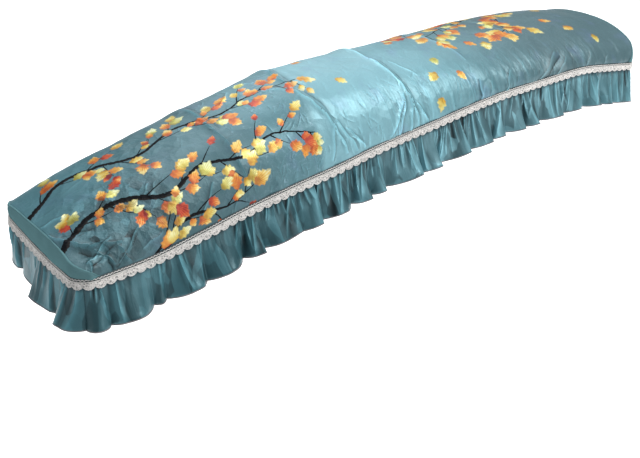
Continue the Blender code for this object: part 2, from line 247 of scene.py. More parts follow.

# Sharp creases and small folds of the top, placed in the cloth's own plane:
# from along, from across, to along, to across, height, width
CREASES = (
    # the sunk corner in front at the tail
    (-0.838, -0.050, -0.820, -0.104, 0.0051, 0.0050),
    (-0.820, -0.104, -0.790, -0.137, 0.0061, 0.0050),
    (-0.790, -0.137, -0.735, -0.172, 0.0044, 0.0060),
    (-0.814, -0.138, -0.772, -0.180, -0.0061, 0.0100),
    (-0.800, -0.162, -0.815, -0.206, 0.0041, 0.0050),
    (-0.772, -0.172, -0.768, -0.222, -0.0044, 0.0060),
    (-0.786, -0.152, -0.758, -0.204, 0.0037, 0.0045),
    (-0.742, -0.176, -0.728, -0.222, 0.0031, 0.0060),
    (-0.835, -0.010, -0.790, -0.030, 0.0024, 0.0060),
    (-0.812, -0.170, -0.750, -0.150, 0.0036, 0.0050),
    (-0.806, -0.182, -0.742, -0.166, -0.0040, 0.0050),
    (-0.760, -0.214, -0.700, -0.176, -0.0036, 0.0060),
    (-0.752, -0.206, -0.690, -0.162, 0.0034, 0.0050),
    (-0.822, -0.080, -0.770, -0.108, -0.0040, 0.0060),
    (-0.700, -0.205, -0.650, -0.200, 0.0026, 0.0060),
    (-0.660, -0.122, -0.632, -0.094, 0.0017, 0.0040),
    (-0.646, -0.128, -0.618, -0.100, 0.0017, 0.0040),
    (-0.560, -0.215, -0.515, -0.165, 0.0031, 0.0080),
    # packing crease on the slope
    (-0.432, 0.110, -0.446, -0.060, 0.0026, 0.0036),
    (-0.424, 0.110, -0.438, -0.060, -0.0020, 0.0050),
    (-0.446, -0.060, -0.440, -0.220, 0.0014, 0.0040),
    (-0.330, 0.100, -0.276, 0.040, 0.0017, 0.0050),
    (-0.300, 0.064, -0.362, -0.022, 0.0019, 0.0050),
    (-0.292, 0.004, -0.252, -0.052, 0.0019, 0.0050),
    (-0.382, 0.018, -0.338, 0.056, 0.0015, 0.0050),
    # packing crease where the slope ends, and the folds that it splits into above the lace
    (-0.214, 0.130, -0.241, -0.062, 0.0029, 0.0038),
    (-0.241, -0.062, -0.227, -0.113, 0.0031, 0.0038),
    (-0.227, -0.113, -0.205, -0.190, 0.0037, 0.0040),
    (-0.206, 0.130, -0.232, -0.062, -0.0020, 0.0060),
    (-0.232, -0.062, -0.196, -0.185, -0.0027, 0.0060),
    (-0.206, -0.186, -0.184, -0.262, 0.0037, 0.0050),
    (-0.206, -0.184, -0.226, -0.262, 0.0034, 0.0050),
    (-0.196, -0.178, -0.158, -0.264, 0.0034, 0.0050),
    (-0.176, -0.200, -0.136, -0.262, 0.0031, 0.0050),
    # packing crease in the middle, and its folds above the lace
    (0.019, 0.110, 0.006, -0.032, 0.0022, 0.0038),
    (0.006, -0.032, 0.008, -0.122, 0.0032, 0.0038),
    (0.008, -0.122, 0.018, -0.190, 0.0044, 0.0040),
    (0.029, 0.110, 0.016, -0.032, -0.0017, 0.0060),
    (0.016, -0.032, 0.028, -0.188, -0.0031, 0.0060),
    (0.017, -0.182, -0.002, -0.262, 0.0044, 0.0045),
    (0.017, -0.186, 0.026, -0.262, 0.0037, 0.0045),
    (0.005, -0.170, -0.036, -0.262, 0.0044, 0.0050),
    (-0.006, -0.186, -0.062, -0.262, 0.0037, 0.0050),
    (0.030, -0.202, 0.056, -0.262, 0.0034, 0.0050),
    (0.040, -0.060, 0.075, -0.130, 0.0017, 0.0060),
    # towards the head end
    (0.238, 0.110, 0.234, -0.130, 0.0015, 0.0040),
    (0.222, -0.252, 0.228, -0.192, 0.0037, 0.0060),
    (0.250, -0.252, 0.262, -0.206, 0.0027, 0.0050),
    (0.300, -0.250, 0.334, -0.190, 0.0037, 0.0080),
    (0.424, -0.246, 0.508, -0.178, 0.0065, 0.0100),
    (0.452, -0.246, 0.524, -0.192, -0.0041, 0.0080),
    (0.482, -0.250, 0.540, -0.200, 0.0041, 0.0070),
    (0.450, 0.120, 0.455, -0.100, 0.0012, 0.0045),
    (0.602, -0.250, 0.642, -0.200, 0.0027, 0.0070),
    (0.682, -0.250, 0.706, -0.214, 0.0020, 0.0070),
)

# Gathers that run up the sides from the lace: from x, to x, spacing, height, reach
SIDE_GATHERS = (
    (-0.84, -0.50, 0.055, 0.0014, 0.045),
    (-0.50, -0.10, 0.028, 0.0036, 0.055),
    (-0.10, 0.45, 0.022, 0.0048, 0.062),
    (0.45, 0.84, 0.032, 0.0036, 0.055),
)
SEAM_HOLD = 0.3

# Pleats of the frill: from run, to run, spacing, ridges in a fan, height, share of the depth that they reach
PLEATS = (
    (-0.06, 0.32, 0.110, 2, 0.0050, 0.85),
    (0.32, 0.62, 0.085, 4, 0.0062, 1.00),
    (0.62, 1.06, 0.075, 4, 0.0062, 1.00),
    (1.06, 1.50, 0.078, 4, 0.0064, 0.95),
    (1.50, 1.72, 0.075, 3, 0.0052, 1.00),
    (1.72, 2.10, 0.085, 3, 0.0048, 0.95),
    (2.10, 3.76, 0.075, 4, 0.0060, 0.95),
    (3.76, 4.02, 0.085, 2, 0.0042, 1.00),
)

# Small bumps between the pleats, and the height at which a hollow or crest counts in full in the frill's
# painted shade and highlight
FRILL_BUMP = 0.0070
FULL_HOLLOW = 0.0014

# Lace trim, down its strip from its upper edge
LACE_CLOTH = 0.0005
LACE_ABOVE_SEAM = 0.001
LACE_TO_NOTCH = 0.0122
LACE_TO_TIP = 0.0192
LACE_HEAD_OFFSET = 0.0024
LACE_FOOT_OFFSET = 0.0068
SCALLOP_PITCH = 0.0218
LACE_DRAWN_UP = 0.12
POINTS_A_SCALLOP = 12
LACE_ROWS = 5
HEADING = 0.0042
PICOTS_A_SCALLOP = 3
THREAD = 0.00036
CORD = 0.00100
LACE_LIFT = 0.0003

# Petals worked on the lace in each scallop: how far aside, how far down, half width, half height; and fans
PETALS = (
    (0.0, 0.0130, 0.0022, 0.0015),
    (-0.30, 0.0112, 0.0017, 0.0011),
    (0.30, 0.0112, 0.0017, 0.0011),
    (0.5, 0.0066, 0.0020, 0.0013),
)
FANS = (-0.38, -0.24, -0.12, 0.0, 0.12, 0.24, 0.38)

# Dark band of painted shadow behind the lace's heading, where the seam lies in shade: down from the lace's
# upper edge, and how far it lies behind the lace
SHADOW_BAND_ROWS = (0.0052, 0.0026, 0.0, -0.0026)
SHADOW_BAND_BEHIND = -0.0009

# Hem and stitches
HEM_WRAP = 0.0024
HEM_THREAD = 0.00045
STITCH_SPACING = 0.0034
OVERLOCK_SPACING = 0.0016
HEM_CORD = 0.0008

# How finely each piece is divided, and the bumps after which soft noise comes round again
NOISE_SIZE = 64
FINE_ANGLES, EVEN_ANGLES = 901, 181
FINE_RUN = 24001
TOP_STATIONS = 410
TOP_FACETS = 118
FRILL_COLUMNS = 2560
FRILL_ROWS = 18
END_FACETS = 100
END_LEVELS = 14

# Print: boughs as points along and across the cloth, then half width at the start and at the end
BOUGHS = (
    (((-0.845, 0.040), (-0.760, 0.072), (-0.680, 0.050), (-0.600, 0.004), (-0.500, 0.026), (-0.400, -0.012),
      (-0.310, 0.000), (-0.215, -0.036)), 0.0066, 0.0013),
    (((-0.845, -0.118), (-0.770, -0.082), (-0.690, -0.098), (-0.610, -0.142), (-0.520, -0.120),
      (-0.430, -0.152), (-0.350, -0.136), (-0.255, -0.180)), 0.0074, 0.0013),
    (((-0.700, -0.262), (-0.640, -0.216), (-0.575, -0.204), (-0.500, -0.226),
      (-0.430, -0.214)), 0.0050, 0.0011),
    (((0.640, 0.275), (0.560, 0.170), (0.450, 0.100), (0.340, 0.074), (0.235, 0.020)), 0.0050, 0.0010),
    (((0.600, 0.200), (0.500, 0.168), (0.390, 0.150), (0.270, 0.132), (0.160, 0.090)), 0.0034, 0.0009),
    (((0.500, 0.128), (0.520, 0.050), (0.478, -0.012), (0.448, -0.070)), 0.0022, 0.0006),
)
BOUGH_STEP, TWIG_STEP = 0.012, 0.008
TWIG_SPACING = (0.024, 0.040)
TWIG_LENGTH = (0.045, 0.100)
LEAF_LENGTH = (0.022, 0.043)
LEAF_LAYERS = 4
HEAD_LEAF_GROWTH = 1.35

# How far from a drawn line its faces may lie, and how far round the line they are looked for
LINE_REACH, LINE_MARGIN = 0.012, 0.014

# Loose printed leaves: along, across, heading in degrees, length, redness
LOOSE_LEAVES = (
    (0.160, -0.086, 250, 0.036, 0.10),
    (0.128, -0.136, 215, 0.040, 0.15),
    (0.186, -0.150, 285, 0.034, 0.45),
    (0.108, -0.205, 240, 0.042, 0.20),
    (0.300, -0.050, 300, 0.040, 0.60),
    (0.668, -0.094, 200, 0.044, 0.40),
    (0.704, -0.142, 260, 0.036, 0.15),
    (0.606, -0.030, 330, 0.042, 0.55),
    (0.690, 0.060, 20, 0.044, 0.35),
    (0.256, -0.010, 255, 0.050, 0.12),
    (0.232, -0.042, 300, 0.046, 0.62),
    (0.372, -0.020, 290, 0.056, 0.55),
    (0.408, -0.048, 320, 0.054, 0.70),
    (0.352, -0.072, 245, 0.048, 0.15),
    (0.520, -0.064, 300, 0.052, 0.30),
    (-0.130, -0.070, 310, 0.034, 0.25),
    (-0.150, 0.060, 40, 0.038, 0.50),
)

# Runs of the outline: its sides in order, one corner, all of it, and the scallops along it
HALF_LENGTH = LENGTH / 2
SIDE_RUN = LENGTH - 2 * CORNER_RADIUS
HEAD_RUN = 2 * (HALF_WIDTH_HEAD - CORNER_RADIUS)
TAIL_RUN = 2 * (HALF_WIDTH_TAIL - CORNER_RADIUS)
ARC = CORNER_RADIUS * math.pi / 2
STRAIGHTS = (SIDE_RUN, HEAD_RUN, SIDE_RUN, TAIL_RUN)
OUTLINE = sum(STRAIGHTS) + 4 * ARC
SCALLOPS = round(OUTLINE / SCALLOP_PITCH)


def eased(t):
    """From 0 to 1 with a soft start and a soft end."""
    return t * t * (3 - 2 * t)


def smooth_column(column):
    """One column of the cross-sections as a function of x, on a smooth curve through its values."""
    xs, ys = np.array(SECTIONS)[:, [0, column]].T
    places = np.arange(len(xs))
    low = np.maximum(places - 1, 0)
    high = np.minimum(places + 1, len(xs) - 1)
    slopes = (ys[high] - ys[low]) / (xs[high] - xs[low])

    def value(x):
        x = np.clip(x, xs[0], xs[-1])
        i = np.clip(np.searchsorted(xs, x, side="right") - 1, 0, len(xs) - 2)
        step = xs[i + 1] - xs[i]
        t = (x - xs[i]) / step
        start = ys[i] * (1 + 2 * t) * (1 - t) ** 2 + slopes[i] * step * t * (1 - t) ** 2
        return start + ys[i + 1] * eased(t) - slopes[i + 1] * step * t * t * (1 - t)

    return value


front_seam, back_seam, crown, square_front, square_back = (smooth_column(column) for column in range(1, 6))

# Height of the frame's origin in the cross-sections, and the place of the camera in the frame
UNDERSIDE = float(crown(0.0)) - SOLID_CLOTH / 2
CAMERA_PLACE = (-1.4624, -1.7184, 0.9762 - UNDERSIDE)


def half_width(x):
    t = np.clip((x + HALF_LENGTH - CORNER_RADIUS) / SIDE_RUN, 0.0, 1.0)
    return HALF_WIDTH_TAIL + (HALF_WIDTH_HEAD - HALF_WIDTH_TAIL) * eased(t)


def seam_height(x, y):
    share = y / half_width(x)
    across = 0.5 + 0.5 * share
    near_tail = np.clip((TAIL_SAG_FROM - x) / TAIL_SAG_REACH, 0, 1)
    sag = TAIL_SAG * near_tail ** 2 * np.maximum(1 - share ** 2, 0)
    return front_seam(x) * (1 - across) + back_seam(x) * across - sag


def end_x(side, y, width):
    """How far the cover reaches along X at y: straight across, with round corners."""
    past = np.maximum(np.abs(y) - (width - CORNER_RADIUS), 0.0)
    return side * (HALF_LENGTH - CORNER_RADIUS + np.sqrt(np.maximum(CORNER_RADIUS ** 2 - past ** 2, 0.0)))


def relief(x, y):
    """What the broad ridges and hollows add to the height of the top."""
    u = 0.5 + 0.5 * y / half_width(x)
    fade = np.maximum(1.0 - np.abs(2 * u - 1) ** EDGE_FADE, 0.0)
    height = np.zeros_like(x)
    for front_x, back_x, ridge, width in RIDGES:
        height += fade * ridge * np.exp(-((x - front_x - (back_x - front_x) * u) / width) ** 2)
    for hollow_x, hollow_y, depth, along, across in HOLLOWS:
        height -= fade * depth * np.exp(-((x - hollow_x) / along) ** 2 - ((y - hollow_y) / across) ** 2)
    return height


def section_point(x, angle):
    """Points of the cross-sections at x: angle -90 degrees is the front seam, 90 the back seam."""
    square = np.where(angle < 0, square_front(x), square_back(x))
    across = np.sign(angle) * np.abs(np.sin(angle)) ** (2 / square)
    rise = np.maximum(np.cos(angle), 0.0) ** (2 / SHOULDER)
    y = half_width(x) * across
    seam = seam_height(x, y)
    return y, seam + (crown(x) - seam) * rise


def outline(run):
    """Point and outward direction of the outline, run metres from the middle of the front left corner."""
    left = np.mod(np.asarray(run, float) - ARC / 2, OUTLINE)
    end = HALF_LENGTH - CORNER_RADIUS
    head = HALF_WIDTH_HEAD - CORNER_RADIUS
    tail = HALF_WIDTH_TAIL - CORNER_RADIUS
    corners = ((end, -head), (end, head), (-end, tail), (-end, -tail))
    x, y, turn = np.zeros_like(left), np.zeros_like(left), np.zeros_like(left)
    start = 0.0
    for index, straight in enumerate(STRAIGHTS):
        facing = math.radians(90 * index - 90)
        middle = straight / 2 - (left - start)
        on_side = (left >= start) & (left <= start + straight)
        side_x, side_y = (
            (-middle, -half_width(-middle)),
            (HALF_LENGTH + 0 * middle, -middle),
            (middle, half_width(middle)),
            (-HALF_LENGTH + 0 * middle, middle),
        )[index]
        x = np.where(on_side, side_x, x)
        y = np.where(on_side, side_y, y)
        turn = np.where(on_side, facing, turn)
        start += straight
        on_corner = (left > start) & (left < start + ARC)
        angle = facing + (left - start) / CORNER_RADIUS
        x = np.where(on_corner, corners[index][0] + CORNER_RADIUS * np.cos(angle), x)
        y = np.where(on_corner, corners[index][1] + CORNER_RADIUS * np.sin(angle), y)
        turn = np.where(on_corner, angle, turn)
        start += ARC
    return x, y, np.cos(turn), np.sin(turn)


def soft_noise(u, v, seed):
    """Smooth random heights from -1 to 1, one bump to a unit of u and v."""
    size = NOISE_SIZE
    table = np.random.default_rng(seed).uniform(-1, 1, (size, size))
    iu, iv = np.floor(u).astype(int), np.floor(v).astype(int)
    su, sv = eased(u - iu), eased(v - iv)
    low, high = (table[iu % size, row % size] * (1 - su) + table[(iu + 1) % size, row % size] * su
                 for row in (iv, iv + 1))
    return low * (1 - sv) + high * sv


def run_along(points):
    """How far each point of a line lies from its first, measured along the line."""
    return np.concatenate([[0.0], np.cumsum(np.linalg.norm(np.diff(points, axis=0), axis=1))])


def at_places(places, run, points):
    """Points of a line at some places of its run."""
    return np.stack([np.interp(places, run, column) for column in points.T], axis=1)


def grid_normals(points, closed=False):
    """Unit normals of a grid of points, rows across and columns along."""
    if closed:
        along = np.roll(points, -1, axis=1) - np.roll(points, 1, axis=1)
    else:
        along = np.gradient(points, axis=1)
    normals = np.cross(along, np.gradient(points, axis=0))
    return normals / np.maximum(np.linalg.norm(normals, axis=2, keepdims=True), 1e-12)


def link_piece(name, vertices, faces, materials, edges=()):
    """A new piece at the origin from points, edges and faces."""
    mesh = bpy.data.meshes.new(name)
    mesh.from_pydata(np.asarray(vertices).tolist(), np.asarray(edges).tolist(), np.asarray(faces).tolist())
    for material in materials:
        mesh.materials.append(material)
    if len(faces):
        mesh.shade_smooth()
    piece = bpy.data.objects.new(name, mesh)
    bpy.context.scene.collection.objects.link(piece)
    return piece


def cloth_piece(name, points, thickness, materials, closed=False):
    """Thin cloth with both faces and its edges, through a grid of points; the outer faces come first."""
    rows, columns = points.shape[:2]
    count = rows * columns
    half = grid_normals(points, closed) * thickness / 2
    vertices = np.concatenate([(points + half).reshape(-1, 3), (points - half).reshape(-1, 3)])
    index = np.arange(count).reshape(rows, columns)
    if closed:
        index = np.concatenate([index, index[:, :1]], axis=1)
    left, right = index[:, :-1], index[:, 1:]
    outer = np.stack([left[:-1], right[:-1], right[1:], left[1:]], axis=-1).reshape(-1, 4)
    rims = [(right[0], left[0]), (left[-1], right[-1])]
    if not closed:
        rims += [(index[:-1, 0], index[1:, 0]), (index[1:, -1], index[:-1, -1])]
    edges = [np.stack([first, second, second + count, first + count], axis=-1) for first, second in rims]
    faces = np.concatenate([outer, outer[:, ::-1] + count, *edges])
    piece = link_piece(name, vertices, faces, materials)
    if len(materials) > 1:
        turned = np.zeros(len(faces), dtype=np.int32)
        turned[len(outer):2 * len(outer)] = 1
        piece.data.polygons.foreach_set("material_index", turned)
    return piece, outer


def store(piece, name, vectors, domain="POINT"):
    """Keep a vector with each point, or each corner of each face."""
    attribute = piece.data.attributes.new(name, "FLOAT_VECTOR", domain)
    attribute.data.foreach_set("vector", np.ascontiguousarray(vectors, dtype=np.float32).ravel())


def lay_plane(piece, plane):
    """Store each point's place in the flat cloth, for both faces."""
    store(piece, "cloth_plane", np.concatenate([plane.reshape(-1, 3)] * 2))


def lay_on_faces(piece, name, values, outside):
    """Store drawn lines or leaves on the outer faces; the rest of the cloth lies outside all of them."""
    whole = np.zeros((len(piece.data.loops), 3))
    whole[:, 0] = outside
    whole[:values.size // 3] = values.reshape(-1, 3)
    store(piece, name, whole, "CORNER")


def top_base():
    """Grid of the top and both long sides, evenly spaced over the cloth, without its small folds."""
    spread = np.linspace(-1, 1, FINE_ANGLES)
    angles = np.sign(spread) * np.abs(spread) ** 2.5 * math.pi / 2
    angles = np.unique(np.concatenate([angles, np.linspace(-math.pi / 2, math.pi / 2, EVEN_ANGLES)]))
    points = np.zeros((TOP_FACETS + 1, TOP_STATIONS + 1, 3))
    across = np.zeros((TOP_FACETS + 1, TOP_STATIONS + 1))
    for k in range(TOP_STATIONS + 1):
        share = k / TOP_STATIONS
        x = np.full_like(angles, -HALF_LENGTH + LENGTH * share)
        for _ in range(4):
            y = section_point(x, angles)[0]
            tail = end_x(-1, y, HALF_WIDTH_TAIL) + END_TUCK
            head = end_x(1, y, HALF_WIDTH_HEAD) - END_TUCK
            x = tail + (head - tail) * share
        y, z = section_point(x, angles)
        line = np.stack([x, y, z + relief(x, y) - UNDERSIDE + SEAM_GAP / 2], axis=1)
        run = run_along(line)
        even = np.linspace(0, run[-1], TOP_FACETS + 1)
        points[:, k] = at_places(even, run, line)
        across[:, k] = even - np.interp(0.0, y, run)
    return points, across


def side_gathers(x, to_seam):
    """Upright ripples of the sides just above the lace, held flatter at the seam itself."""
    height = np.zeros_like(x)
    for seed, (from_x, to_x, spacing, rise, reach) in enumerate(SIDE_GATHERS):
        inside = np.clip((x - from_x) / 0.04, 0, 1) * np.clip((to_x - x) / 0.04, 0, 1)
        bend = 0.006 * soft_noise(x / 0.05, to_seam / 0.03, 40 + seed)
        wave = soft_noise((x + bend) / spacing, to_seam / 0.25, 50 + seed)
        sharp = 1 - 2 * np.abs(soft_noise((x + bend) / (0.6 * spacing), to_seam / 0.3, 60 + seed))
        lengths = reach * (0.7 + 0.6 * np.abs(soft_noise(x / (1.3 * spacing), 0 * x, 70 + seed)))
        height += inside * rise * (0.65 * wave + 0.35 * sharp) * np.exp(-(to_seam / lengths) ** 2)
    return height * (SEAM_HOLD + (1 - SEAM_HOLD) * np.clip(to_seam / 0.014, 0, 1))


def crease_sway(share, rise):
    """How far a crease sways aside on its way."""
    return 0.0016 * np.sin(share * 9 + rise * 4000)


def crease_relief(along, across):
    """Height of the creases placed by hand: a sharp crest that dies out at both ends."""
    height = np.zeros_like(along)
    for start, start_across, end, end_across, rise, width in CREASES:
        step, step_across = end - start, end_across - start_across
        length = math.hypot(step, step_across)
        share = ((along - start) * step + (across - start_across) * step_across) / length ** 2
        aside = ((along - start) * step_across - (across - start_across) * step) / length
        aside = aside + crease_sway(share, rise)
        beyond = np.maximum(np.maximum(-share, share - 1), 0) * length
        crest = np.exp(-np.sqrt((aside / width) ** 2 + 0.15) + 0.39)
        taper = 0.45 + 0.55 * np.sin(math.pi * np.clip(share, 0, 1))
        height += rise * crest * taper * np.exp(-(beyond / (2 * width)) ** 2)
    return height


def swelling(route, middle, thin, thick):
    """A line in two parts that is thick at its middle point and thin at both ends."""
    return [(route[:middle + 1], thin, thick), (route[middle:], thick, thin)]


def pressed_lines(sign):
    """The creases of one kind as lines that swell towards their middle; negative sign gives the troughs."""
    lines = []
    for start, start_across, end, end_across, rise, _ in CREASES:
        if rise * sign > 0:
            step = np.array([end - start, end_across - start_across])
            aside = np.array([step[1], -step[0]]) / np.linalg.norm(step)
            share = np.linspace(0, 1, 13)[:, None]
            route = (start, start_across) + share * step - crease_sway(share, rise) * aside
            strength = min(abs(rise), 0.0045)
            lines += swelling(route, 6, 0.6 * strength, strength)
    return lines


def steps_along(turns, length):
    """Even steps in the directions given, of the length given in all."""
    return np.stack([np.cos(turns), np.sin(turns)], axis=1) * length / len(turns)


def wrinkle_lines():
    """Short bent lines strewn over the zones of fine wrinkles."""
    random = np.random.default_rng(37)
    lines = []
    for *zone, count, direction, spread, shortest, longest, strength in WRINKLES:
        for _ in range(count):
            middle = random.uniform(zone[::2], zone[1::2])
            turn = math.radians(direction + spread * random.uniform(-1, 1))
            length = random.uniform(shortest, longest)
            steps = steps_along(turn + random.uniform(-0.5, 0.5) * np.linspace(-1, 1, 5), length)
            route = np.concatenate([np.zeros((1, 2)), np.cumsum(steps, axis=0)])
            route = middle + route - steps.sum(axis=0) / 2
            own = strength * random.uniform(0.5, 1.3)
            lines += swelling(route, 3, 0.1 * own, own)
    return lines


def make_top_panel(materials):
    points, across = top_base()
    normals = grid_normals(points)
    x = points[..., 0]
    to_seam = np.minimum(across - across[:1], across[-1:] - across)
    away = np.clip(to_seam / 0.05, 0, 1) * np.clip((HALF_LENGTH - np.abs(x)) / 0.02, 0, 1)
    height = side_gathers(x, to_seam) + crease_relief(x, across) * np.clip(to_seam / 0.012, 0.25, 1)
    for seed, (rise, bump_along, bump_across, fading) in enumerate(TOP_BUMPS, 1):
        bumps = soft_noise(x / bump_along, across / bump_across, seed)
        height += rise * (away if fading else 1.0) * bumps
    points = points + normals * height[..., None]
    piece, faces = cloth_piece("top_panel_cloth", points, SATIN, materials)
    print_on(piece, faces, x.reshape(-1), across.reshape(-1))
    return piece, points


def make_end_panel(name, side, top_points, material):
    """Upright end panel from the lace's seam up to the edge of the top, which it meets in a rolled seam."""
    end = 0 if side < 0 else -1
    edge = top_points[:, end]
    run = run_along(edge)
    even = np.linspace(0.004, run[-1] - 0.004, END_FACETS + 1)
    edge, facing = at_places(even, run, edge), at_places(even, run, grid_normals(top_points)[:, end])
    outer_x = edge[:, 0] + side * 1.6 * END_TUCK
    foot = seam_height(outer_x, edge[:, 1]) + SEAM_GAP / 2 - UNDERSIDE - 0.001
    share = (1 - (1 - np.linspace(0, 1, END_LEVELS + 1)) ** 1.5)[:, None]
    tall = np.maximum(edge[:, 2] + 0.0004 - foot, 0.0005)
    points = np.stack(np.broadcast_arrays(outer_x, edge[:, 1], foot + tall * share), axis=-1)
    lip = edge + 0.0010 * facing
    points = np.concatenate([points, np.stack([lip + (side * out, 0, rise) for out, rise in END_LIP])])
    share = np.concatenate([share, np.ones((len(END_LIP), 1))])
    if side < 0:
        points = points[:, ::-1]
        tall = tall[::-1]
    y, z = points[..., 1], points[..., 2]
    room = np.clip(tall / 0.02, 0, 1)
    below_edge = (1 - share) * tall
    belly = 0.0024 * np.sin(math.pi * share) * room
    wave = 0.0013 * soft_noise(y / 0.045, z / 0.05, 15 + side)
    wave += 0.0006 * soft_noise(y / 0.016, z / 0.03, 18 + side)
    rolls = sum(rise * np.exp(-((below_edge - place) / width) ** 2) for rise, place, width in END_ROLLS)
    lift = belly + wave * room * np.sin(math.pi * np.clip(share, 0.04, 0.96)) + rolls * room
    lift[END_LEVELS:] = 0.0
    return cloth_piece(name, points + grid_normals(points) * lift[..., None], SATIN, [material])[0]


def fold_rows():
    """All the frill's folds round the outline: start, width, out, peak, growth, swing here, swing next."""
    rows = []
    start = 0.0
    sides = (FRONT_FOLDS, HEAD_FOLDS, BACK_FOLDS, TAIL_FOLDS)
    for straight, folds, growth in zip(STRAIGHTS, sides, FOLD_GROWTHS):
        scale = (straight + ARC) / sum(width for width, *_ in folds)
        for width, out, peak, swing in folds:
            rows.append([start, width * scale, out, peak, growth, swing])
            start += width * scale
    return np.array([row + [rows[(i + 1) % len(rows)][5]] for i, row in enumerate(rows)])


FOLD_ROWS = fold_rows()


def frill_base(run, level):
    """Points of the frill below the outline at run: level 0 is the seam, 1 the hem."""
    run = np.mod(run, OUTLINE)
    fold = FOLD_ROWS[np.clip(np.searchsorted(FOLD_ROWS[:, 0], run, side="right") - 1, 0, len(FOLD_ROWS) - 1)]
    start, width, out, peak, growth, swing, next_swing = np.moveaxis(fold, -1, 0)
    share = np.clip((run - start) / width, 0, 1)
    before = np.sin(math.pi / 2 * share / peak)
    after = np.cos(math.pi / 2 * (share - peak) / (1 - peak))
    stand = np.where(share <= peak, before, after)
    x, y, out_x, out_y = outline(run)
    hem_swing = swing + (next_swing - swing) * share
    offset = hem_swing * level ** SWING_GROWTH + out * stand * level ** growth
    reach = FRILL_DEPTH * level
    drop = np.sqrt(np.maximum(reach ** 2 - np.minimum(offset, MOST_LEAN * reach) ** 2, 0))
    z = seam_height(x, y) - SEAM_GAP / 2 - drop
    return np.stack([x + out_x * offset, y + out_y * offset, z - UNDERSIDE], axis=-1)


def gathers(run, step):
    """Fans of sharp ridges under the frill's seam, with one broad fold between two fans.

    Each is given as place, height, share of the depth, lean, bow, width at the top and spread.
    """
    random = np.random.default_rng(11)
    for from_run, to_run, spacing, ridges, rise, reach in PLEATS:
        inside = np.flatnonzero(np.mod(run - from_run, OUTLINE) < to_run - from_run)
        count = max(int(len(inside) * step / spacing), 1)
        for k in range(count):
            centre = inside[int((k + random.uniform(0.2, 0.8)) / count * len(inside))] * step
            here = int(random.integers(ridges - 1, ridges + 2))
            turned = random.uniform(-0.010, 0.010)
            apart = random.uniform(0.0085, 0.0140)
            for j in range(here):
                aside = (j - (here - 1) / 2 + random.uniform(-0.25, 0.25)) * apart
                fan = turned + aside * random.uniform(0.5, 1.7)
                yield (centre + aside, rise * random.uniform(0.45, 1.1), reach * random.uniform(0.35, 1.1),
                       fan, random.uniform(-0.012, 0.012), random.uniform(0.0016, 0.0026), 0.0050)
            yield (centre + spacing * random.uniform(0.38, 0.62), rise * random.uniform(0.8, 1.5), 1.5,
                   random.uniform(-0.014, 0.014), random.uniform(-0.014, 0.014),
                   random.uniform(0.0040, 0.0070), 0.0075)


def gather_lines(folds):
    """The crests of the gathers as lines in the frill's own plane, dying out on their way down."""
    random = np.random.default_rng(13)
    lines = []
    for place, tall, ends, lean, bow, *_ in folds:
        t = np.linspace(0.12, min(ends, 0.95), 8)
        route = np.stack([place + lean * t + bow * t * t, t * FRILL_DEPTH], axis=1)
        strength = 0.0042 * min(tall / 0.0050, 1.0) * random.uniform(0.35, 1.0)
        lines.append((route, strength, 0.3 * strength))
    return lines


def pleat_relief(folds, cloth, level, length):
    """Relief of the gathers: each leans, with a sharp crest, one steep side and one shallow."""
    random = np.random.default_rng(12)
    height = np.zeros_like(level)
    columns = level.shape[1]
    step = length / columns
    for place, tall, ends, lean, bow, narrow, spread in folds:
        steep = random.choice([-1.0, 1.0])
        reached = np.arange(int((place - 0.06) / step), int((place + 0.06) / step)) % columns
        t = level[:, reached]
        away = np.mod(cloth[:, reached] - place + length / 2, length) - length / 2
        away = away - lean * t - bow * t * t
        width = (narrow + spread * t) * np.where(away * steep > 0, 1.0, 2.3)
        fold = np.maximum(1 - np.abs(away) / width, 0) ** 1.2
        height[:, reached] += tall * fold * np.sin(math.pi * np.clip(t / ends, 0, 1) ** 0.75)
    return height


def hollowness(height, reach=7):
    """How far each point lies above (+) or below (-) its neighbours along the cloth, from -1 to 1."""
    around = sum(np.roll(height, shift, axis=1) for shift in range(-reach, reach + 1)) / (2 * reach + 1)
    around = (np.roll(around, 3, axis=1) + around + np.roll(around, -3, axis=1)) / 3
    return np.clip((height - around) / FULL_HOLLOW, -1, 1)


def frill_grid():
    """The frill's points from the hem up, its columns evenly spaced over the cloth."""
    dense = np.linspace(0, OUTLINE, FINE_RUN)
    hem, middle = (frill_base(dense, np.full_like(dense, level)) for level in (1.0, 0.5))
    measured = 0.5 * run_along(hem) + 0.5 * run_along(middle)
    length = measured[-1]
    even = np.linspace(0, length, FRILL_COLUMNS + 1)[:-1]
    run = np.interp(even, measured, dense)
    run_grid, level = np.meshgrid(run, np.linspace(1, 0, FRILL_ROWS + 1))
    points = frill_base(run_grid, level)
    cloth = np.broadcast_to(even, level.shape)
    folds = list(gathers(run, length / FRILL_COLUMNS))
    height = pleat_relief(folds, cloth, level, length)
    bumps = round(length / FRILL_BUMP / NOISE_SIZE) * NOISE_SIZE
    fine = soft_noise(cloth / length * bumps, level * 3.0, 31)
    height += 0.0008 * fine * np.sin(math.pi * np.clip(level / 0.5, 0, 1) ** 0.6)
    height += 0.0016 * soft_noise(cloth / length * bumps / 4, level * 1.2, 32) * level
    height = height * (0.2 + 0.8 * np.clip((level - 0.02) / 0.26, 0, 1))
    # The third part of the cloth plane is the hollowness, which the frill's satin turns into painted shade in
    # hollows and painted highlight on crests
    plane = np.stack([cloth, level * FRILL_DEPTH, hollowness(height)], axis=-1)
    return points + grid_normals(points, closed=True) * height[..., None], plane, gather_lines(folds)


